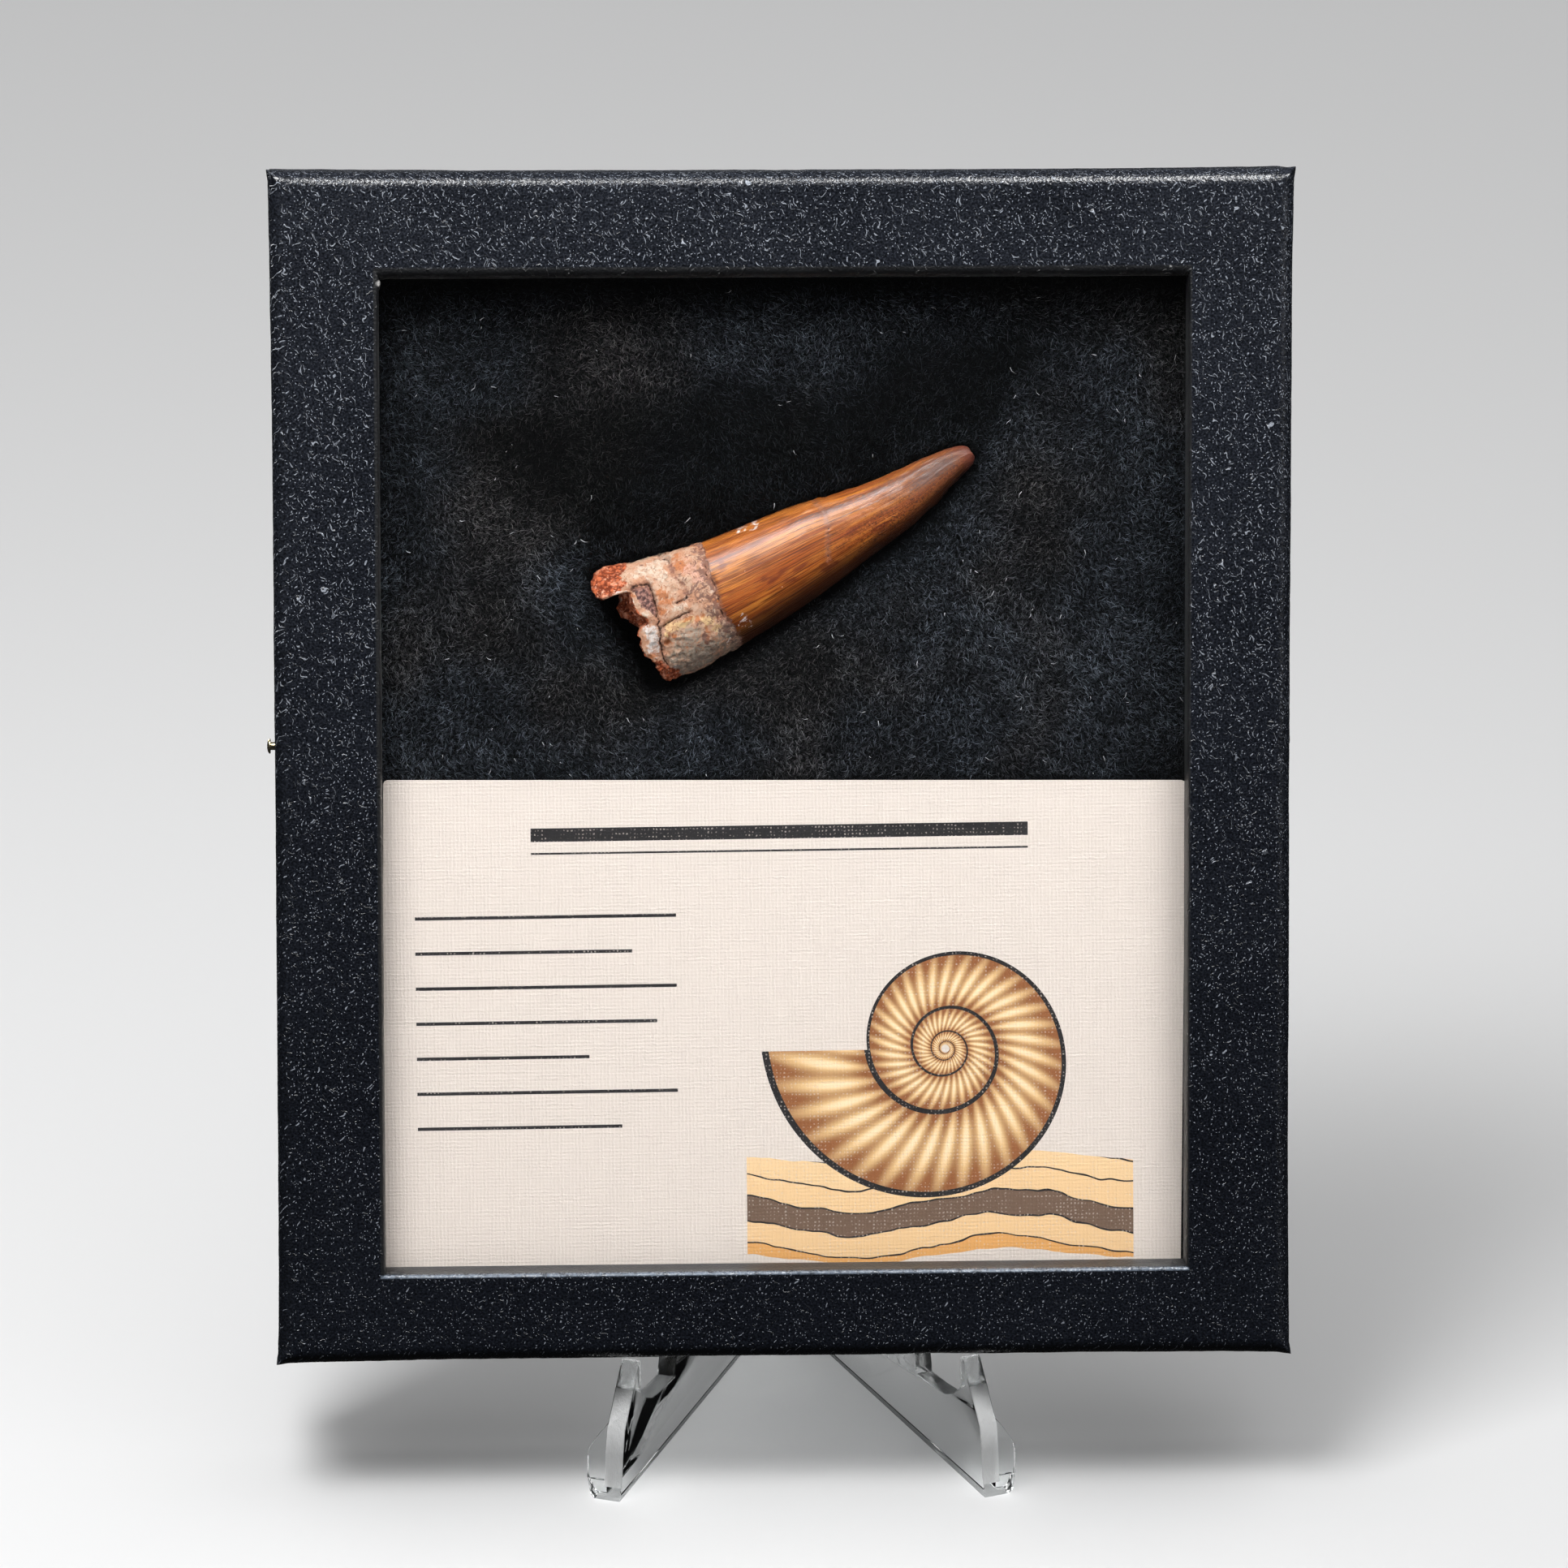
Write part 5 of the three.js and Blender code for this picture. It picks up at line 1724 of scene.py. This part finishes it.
@dataclass
class FibrePad:
    """Black fibre filling with a nap, sunk under the tooth."""

    pose: BoxPose
    tooth: Tooth
    inset: float = 4.4
    width: float = 127.0
    height: float = 148.5
    level: float = 6.75
    back: float = 17.7
    margin: float = 0.3
    cells: tuple[int, int] = (150, 178)
    layers: tuple[NapLayer, ...] = (
        NapLayer("nap_of_hairs", 58000, HairCut((0.6, 1.5), 0.065, 0.3), tone=1.0, lint=90, seed=20),
        NapLayer("nap_of_down", 62000, HairCut((0.3, 0.85), 0.055, 0.25), tone=0.75, lint=20, seed=21),
    )
    lint: HairCut = HairCut((0.25, 1.1), 0.09, 0.6)
    view: Numbers = (-50.9, 51.0, 10.6, 136.0)
    card: Place = (-49.9, 50.4, 72.7)
    glass: float = 5.05
    # outline of the patch above the tooth that gets painted shade
    shade_patch: Line = (
        (-41.9, 116.2), (-32.5, 119.1), (-23.4, 121.3), (-13.4, 123.6), (4.3, 122.2), (18.6, 127.8),
        (35.3, 131.2), (33.1, 124.9), (28.0, 118.9), (24.6, 114.6), (3.8, 103.8), (-23.6, 98.9),
        (-27.5, 102.2), (-34.5, 109.1),
    )

    def surface(self, x: np.ndarray, z: np.ndarray) -> np.ndarray:
        """Depth of the pad's face.

        Args:
            x: Places across the box.
            z: Places up the face.

        Returns:
            The depth at each place, a cradle under the tooth and lumpy elsewhere.
        """
        flat = columns(x, z)
        gap = area_distance(flat, self.tooth.outline())
        along, across, _ = self.tooth.own_frame(columns(x, np.zeros(len(x)), z))
        middle, width, half, axis = self.tooth.section(along)
        lumps = 0.42 * layered_noise(flat, 9.0, 2, 41) + 0.16 * layered_noise(flat, 2.2, 2, 43)
        open_level = self.level + lumps
        reach = np.where(across > middle, 5.5, 4.0)
        slope = np.exp(-((np.maximum(gap, 0) / reach) ** 1.3))
        outside = open_level + (axis + 0.2 - open_level) * slope
        share = np.clip((across - middle) / width, -1, 1)
        inside = axis + half * np.sqrt(1 - share**2) + self.margin
        depth = np.where(gap < 0, np.maximum(inside, outside), outside)
        under_card = ease_step(z, self.card[2] + 0.2, self.card[2] - 1.5)
        depth = depth + under_card * (np.maximum(depth, 6.3) - depth)
        return np.clip(depth, 6.0, self.back - 0.6)

    def body(self, finish: Finish) -> Piece:
        """Shapes the padded body from a grid drawn back into a block."""
        half = self.width / 2 - self.inset
        bpy.ops.object.select_all(action="DESELECT")
        bpy.ops.mesh.primitive_grid_add(x_subdivisions=self.cells[0], y_subdivisions=self.cells[1], size=2.0)
        piece = bpy.context.object
        piece.name = piece.data.name = "fibre_filling"
        points = points_of(piece)
        x = points[:, 0] * half
        z = self.inset + (points[:, 1] + 1) / 2 * (self.height - 2 * self.inset)
        depth = self.surface(x, z)
        edge = np.minimum(half - np.abs(x), np.minimum(z - self.inset, self.height - self.inset - z))
        depth = depth + 1.6 * (1 - ease_step(edge, 0.0, 2.5))
        move_points(piece, columns(x, depth, z))
        store(piece, "nap_shade", self.nap_shade(points_of(piece)))
        with editing(piece):
            bpy.ops.mesh.select_all(action="DESELECT")
            bpy.ops.mesh.select_mode(type="EDGE")
            bpy.ops.mesh.select_non_manifold()
            for share in (0.5, 1.0):
                bpy.ops.mesh.extrude_edges_move()
                mesh = bmesh.from_edit_mesh(piece.data)
                for vert in mesh.verts:
                    if vert.select:
                        vert.co.y += (self.back - vert.co.y) * share
                bmesh.update_edit_mesh(piece.data)
            bpy.ops.mesh.edge_face_add()
        face_outwards(piece)
        settle(piece, self.pose.matrix(), 60.0)
        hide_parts("fibre_pad")
        dress(piece, "fibre", finish)
        return piece

    def nap_shade(self, points: np.ndarray) -> np.ndarray:
        """How light the nap is left: painted shade round the tooth and in a wide patch above it, and painted
        shadow under the window's top lip.
        """
        flat = points[:, [0, 2]]
        gap = np.maximum(area_distance(flat, self.tooth.outline()), 0)
        tooth_shade = np.exp(-((gap / 1.7) ** 1.5))
        stir = 2.6 * layered_noise(flat, 7.0, 3, 57)
        patch = 0.9 * ease_step(area_distance(flat, self.shade_patch) + stir, 5.5, -5.5)
        lip_shadow = ease_step(points[:, 2], self.view[3] - 5.0, self.view[3] - 1.6)
        return (1 - 0.95 * np.maximum(tooth_shade, patch)) * (1 - 0.9 * lip_shadow)

    def _roots(self, draw: Draw, count: int) -> np.ndarray:
        """Random places in view that are bare of card and tooth."""
        left, right, bottom, top = self.view
        x = draw.uniform(left, right, count * 3)
        z = draw.uniform(bottom, top, count * 3)
        bare = (z > self.card[2] + 0.25) | (x < self.card[0] - 0.2) | (x > self.card[1] + 0.2)
        places = columns(x, z)[bare]
        places = places[area_distance(places, self.tooth.outline()) > 0.12]
        return places[:count]

    def _strips(self, roots: np.ndarray, draw: Draw, cut: HairCut) -> tuple[np.ndarray, np.ndarray]:
        """Bent tapering strips standing on the pad.

        Args:
            roots: Where each strip stands, across and up.
            draw: Source of the random choices.
            cut: How the strips are cut.

        Returns:
            Five points per strip, and the strips' own random numbers.
        """
        count = len(roots)
        x, z = roots.T
        nap = 2.6 * lattice_noise(roots / 17.0, 51) + 1.1 * lattice_noise(roots / 5.0, 53) - 1.2
        heading = nap + draw.normal(0, 0.75, count)
        lean = draw.uniform(0.12, 0.95, count)
        reach = draw.uniform(*cut.length, count)
        level = np.cos(lean)
        along = columns(np.cos(heading) * level, -np.sin(lean), np.sin(heading) * level)
        side = columns(-np.sin(heading), draw.normal(0, 0.35, count), np.cos(heading))
        side /= np.linalg.norm(side, axis=1)[:, None]
        bend = draw.normal(0, cut.curl, count)[:, None] * reach[:, None] * side
        base = columns(x, self.surface(x, z) + 0.12, z)
        half = (cut.width * draw.uniform(0.6, 1.3, count) / 2)[:, None] * side
        knee = base + along * reach[:, None] * 0.55 + bend * 0.25
        tip = base + along * reach[:, None] + bend
        tip[:, 1] += 0.18 * reach
        strip = columns(base - half, base + half, knee - 0.8 * half, knee + 0.8 * half, tip)
        strip[:, :, 1] = np.maximum(strip[:, :, 1], self.glass)
        return strip, draw.uniform(0, 1, count)

    def nap(self, layer: NapLayer, hair: Finish, lint: Finish) -> Piece:
        """Joins every hair of one layer of the nap, and the lint in it, in one mesh."""
        draw = np.random.default_rng(layer.seed)
        hairs, lots = self._strips(self._roots(draw, layer.count), draw, layer.hair)
        bits, bit_lots = self._strips(self._roots(draw, layer.lint), draw, self.lint)
        bits[:, :, 1] = np.maximum(bits[:, :, 1] - 0.5, self.glass)
        strips = np.concatenate([hairs, bits])
        count = len(strips)
        first = np.arange(count)[:, None] * 5
        quads = (first + np.array([0, 1, 3, 2])).astype(np.int32)
        tips = (first + np.array([2, 3, 4])).astype(np.int32)
        mesh = bpy.data.meshes.new(layer.name)
        mesh.vertices.add(count * 5)
        mesh.vertices.foreach_set("co", strips.astype(np.float32).ravel())
        mesh.loops.add(count * 7)
        mesh.loops.foreach_set("vertex_index", np.concatenate([quads.ravel(), tips.ravel()]))
        mesh.polygons.add(count * 2)
        starts = np.concatenate([np.arange(count) * 4, count * 4 + np.arange(count) * 3]).astype(np.int32)
        mesh.polygons.foreach_set("loop_start", starts)
        kinds = np.tile(np.concatenate([np.zeros(len(hairs)), np.ones(len(bits))]), 2).astype(np.int32)
        mesh.update(calc_edges=True)
        piece = bpy.data.objects.new(layer.name, mesh)
        bpy.context.scene.collection.objects.link(piece)
        store(piece, "lot", np.repeat(np.concatenate([lots * layer.tone, bit_lots]), 5))
        store(piece, "nap_shade", np.repeat(self.nap_shade(strips[:, 4]), 5))
        settle(piece, self.pose.matrix(), None)
        dress(piece, "fibre", hair, lint)
        piece.visible_diffuse = False
        mesh.polygons.foreach_set("material_index", kinds)
        mesh.update()
        return piece


# --- easel


@dataclass
class EaselPlate:
    """One clear plate of the easel; `side` is -1 on the left and +1 on the right."""

    side: int
    thickness: float = 2.4
    angle: float = math.radians(21.7)
    frosted_below: float = 13.3
    ease: float = 0.18
    rim: float = 0.11
    foot: float = 1.7
    toe: float = 36.0

    def _split_toe(self, piece: Piece, cuts: Sequence[tuple[Vector, Vector]]) -> None:
        """Parts the faces at the toe along some planes, so that each side can have its own finish."""
        mesh = bmesh.new()
        mesh.from_mesh(piece.data)
        for point, normal in cuts:
            toe = [face for face in mesh.faces if face.calc_center_median().y < -self.toe * MM]
            parts = dict.fromkeys(part for face in toe for part in (*face.verts, *face.edges, face))
            bmesh.ops.bisect_plane(mesh, geom=list(parts), plane_co=point, plane_no=normal)
        mesh.to_mesh(piece.data)
        mesh.free()

    def build(self, *finishes: Finish) -> Piece:
        """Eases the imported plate's edges and gives each face its finish, in the order of PlateFace."""
        node = "stand_left" if self.side < 0 else "stand_right"
        piece = merged_copy(node, f"easel_plate_{'left' if self.side < 0 else 'right'}")
        ease_edges(piece, self.ease, 28.0)
        settle(piece, None, 32.0)
        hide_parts(node)
        dress(piece, "clear_acrylic", *finishes)
        across = Vector((self.side * math.cos(self.angle), math.sin(self.angle), 0.0))
        ahead = Vector((self.side * math.sin(self.angle), -math.cos(self.angle), 0.0))
        up = Vector((0.0, 0.0, 1.0))
        frost_top, foot_top = self.frosted_below * MM, self.foot * MM
        upright = [point.co.dot(across) for point in piece.data.vertices if point.co.z > frost_top]
        rim = max(upright) - self.rim * MM
        self._split_toe(piece, ((across * rim, across), (up * foot_top, up)))
        for face in piece.data.polygons:
            at_toe = face.center.y < -self.toe * MM
            flange = at_toe and face.center.dot(across) > rim
            flat = abs(face.normal.dot(across)) > 0.93 or face.normal.z < -0.9
            if flat or flange or face.center.z < foot_top:
                cut = PlateFace.POLISHED
            elif at_toe and face.normal.dot(ahead) > 0.3 and face.center.z < frost_top:
                cut = PlateFace.FROSTED
            else:
                cut = PlateFace.SAWN
            face.material_index = list(PlateFace).index(cut)
        return piece


# --- stage


class Reach(Enum):
    """What a lamp lights."""

    ALL = "all"
    OBJECT = "object"
    FLOOR = "floor"


@dataclass(frozen=True)
class Lamp:
    """A soft square lamp aimed at the object."""

    name: str
    place: Place
    size: float
    power: float
    reach: Reach = Reach.ALL

    def build(self, aim: Vector, floor: Piece) -> None:
        """Hangs the lamp, turns it to its aim and says what it lights."""
        data = bpy.data.lights.new(self.name, "AREA")
        data.shape = "SQUARE"
        data.size = self.size
        data.energy = self.power
        lamp = bpy.data.objects.new(self.name, data)
        lamp.location = self.place
        lamp.rotation_euler = (aim - Vector(self.place)).to_track_quat("-Z", "Y").to_euler()
        if self.reach is not Reach.ALL:
            lit = bpy.data.collections.new(f"reach_of_{self.name}")
            lit.objects.link(floor)
            state = "INCLUDE" if self.reach is Reach.FLOOR else "EXCLUDE"
            lit.collection_objects[0].light_linking.link_state = state
            lamp.light_linking.receiver_collection = lit
        bpy.context.scene.collection.objects.link(lamp)


@dataclass(frozen=True)
class Studio:
    """Pale floor, soft lamps and the camera."""

    aim: Place = (-0.00065, -0.03149, 0.09232)
    distance: float = 0.9
    elevation: float = math.radians(20.51)
    azimuth: float = math.radians(3.16)
    roll: float = math.radians(0.69)
    lens: float = 168.76
    flag: Place = (0.052, -0.985, 0.165)
    flag_edge: Range = (0.80, 0.96)
    flag_light: float = 0.01
    room_light: float = 0.05
    room_tint: Colour = (0.93, 0.96, 1.0, 1)
    floor_tone: Colour = (0.76, 0.76, 0.762, 1)
    lamps: tuple[Lamp, ...] = (
        Lamp("key", (-0.21, -0.23, 0.60), 0.28, 3.1),
        Lamp("over", (0.22, -0.16, 0.60), 0.26, 2.7, Reach.OBJECT),
        Lamp("fill", (0.85, -0.60, 0.50), 0.60, 0.4),
        Lamp("back", (-0.55, 0.85, 0.45), 0.60, 7.0, Reach.OBJECT),
        Lamp("sky", (0.0, 0.0, 2.2), 5.00, 74.0, Reach.FLOOR),
    )

    def camera(self) -> None:
        """Places the camera on its line to the aim."""
        out = Vector((
            -math.sin(self.azimuth) * math.cos(self.elevation),
            -math.cos(self.azimuth) * math.cos(self.elevation),
            math.sin(self.elevation),
        ))
        across = Vector((0, 0, 1)).cross(out).normalized()
        up = out.cross(across)
        cos, sin = math.cos(self.roll), math.sin(self.roll)
        columns = (across * cos + up * sin, up * cos - across * sin, out)
        data = bpy.data.cameras.new("camera")
        data.lens = self.lens
        data.sensor_width = 36.0
        camera = bpy.data.objects.new("camera", data)
        turn = Matrix([[column[row] for column in columns] for row in range(3)]).to_4x4()
        camera.matrix_world = Matrix.Translation(Vector(self.aim) + out * self.distance) @ turn
        bpy.context.scene.collection.objects.link(camera)
        bpy.context.scene.camera = camera

    def floor(self) -> Piece:
        """A wide plain pale floor that throws no light up at the object."""
        bpy.ops.object.select_all(action="DESELECT")
        bpy.ops.mesh.primitive_plane_add(size=14.0, location=(0, 0, 0))
        floor = bpy.context.object
        floor.name = "floor"
        material, graph = new_finish("pale_floor")
        show(graph, principled(graph, Base_Color=self.floor_tone, Roughness=0.75))
        floor.data.materials.append(material)
        floor.visible_glossy = False
        floor.visible_diffuse = False
        return floor

    def room(self) -> None:
        """Even light all round, with a dark flag in front that keeps the pane clear."""
        world = bpy.data.worlds.new("room")
        world.use_nodes = True
        graph = Graph(world.node_tree)
        way = graph.add("TexCoord").outputs["Generated"]
        toward = graph.add("VectorMath", {0: way, 1: self.flag}, operation="DOT_PRODUCT").outputs["Value"]
        height = graph.add("SeparateXYZ", {0: way}).outputs[2]
        flagged = graph.span(toward, *self.flag_edge, (self.room_light, self.flag_light))
        strength = graph.times(flagged, graph.span(height, -0.1, 0.15, (0.35, 1.0)))
        light = graph.add("Background", {"Color": self.room_tint, "Strength": strength}).outputs[0]
        graph.add("OutputWorld", {"Surface": light})
        bpy.context.scene.world = world

    def build(self) -> None:
        """Sets up camera, floor, lamps and the light all round."""
        self.camera()
        floor = self.floor()
        for lamp in self.lamps:
            lamp.build(Vector(self.aim), floor)
        self.room()
        bpy.context.scene.view_settings.view_transform = "Standard"


# --- main


@dataclass
class Specimen:
    """The whole object: box, card, tooth, filling and easel."""

    pose: BoxPose = field(default_factory=BoxPose)
    shelf: EffectShelf = field(default_factory=EffectShelf)

    def build(self) -> None:
        """Builds and dresses every piece in order."""
        pose, shelf = self.pose, self.shelf
        Lid(pose).build(Leatherette(pose, shelf).build())
        Tray().build(BlackBoard(pose, shelf).build())
        brass = PinBrass(shelf).build()
        for side in (-1, 1):
            Pin(side, pose).build(brass)
        tooth = Tooth(pose)
        tooth.build(ToothSkin(pose, shelf).build())
        pad = FibrePad(pose, tooth)
        pad.body(Fleece(pose, shelf, hairs=False).build())
        hair, lint = Fleece(pose, shelf, hairs=True).build(), Lint(pose).build()
        for layer in pad.layers:
            pad.nap(layer, hair, lint)
        faces = [ClearPlastic(face, shelf).build() for face in PlateFace]
        for side in (-1, 1):
            EaselPlate(side).build(*faces)

    def dress_nodes(self, nodes: dict[str, Piece]) -> None:
        """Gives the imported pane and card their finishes."""
        for node, slot, finish in (
            ("glass_pane", "pane", PaneGlass(self.pose).build()),
            ("label_card", "card_stock", LinenCard(self.pose, self.shelf).build()),
        ):
            nodes[node].data.materials.clear()
            nodes[node].data.materials.append(finish)
            LOG.info("%s: packed node kept", node)


def main() -> None:
    """Builds the studio and the object."""
    logging.basicConfig(level=logging.INFO, format="%(name)s: %(message)s")
    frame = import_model()
    Studio().build()
    specimen = Specimen()
    specimen.build()
    specimen.dress_nodes(frame["nodes"])


if __name__ == "__main__":
    main()
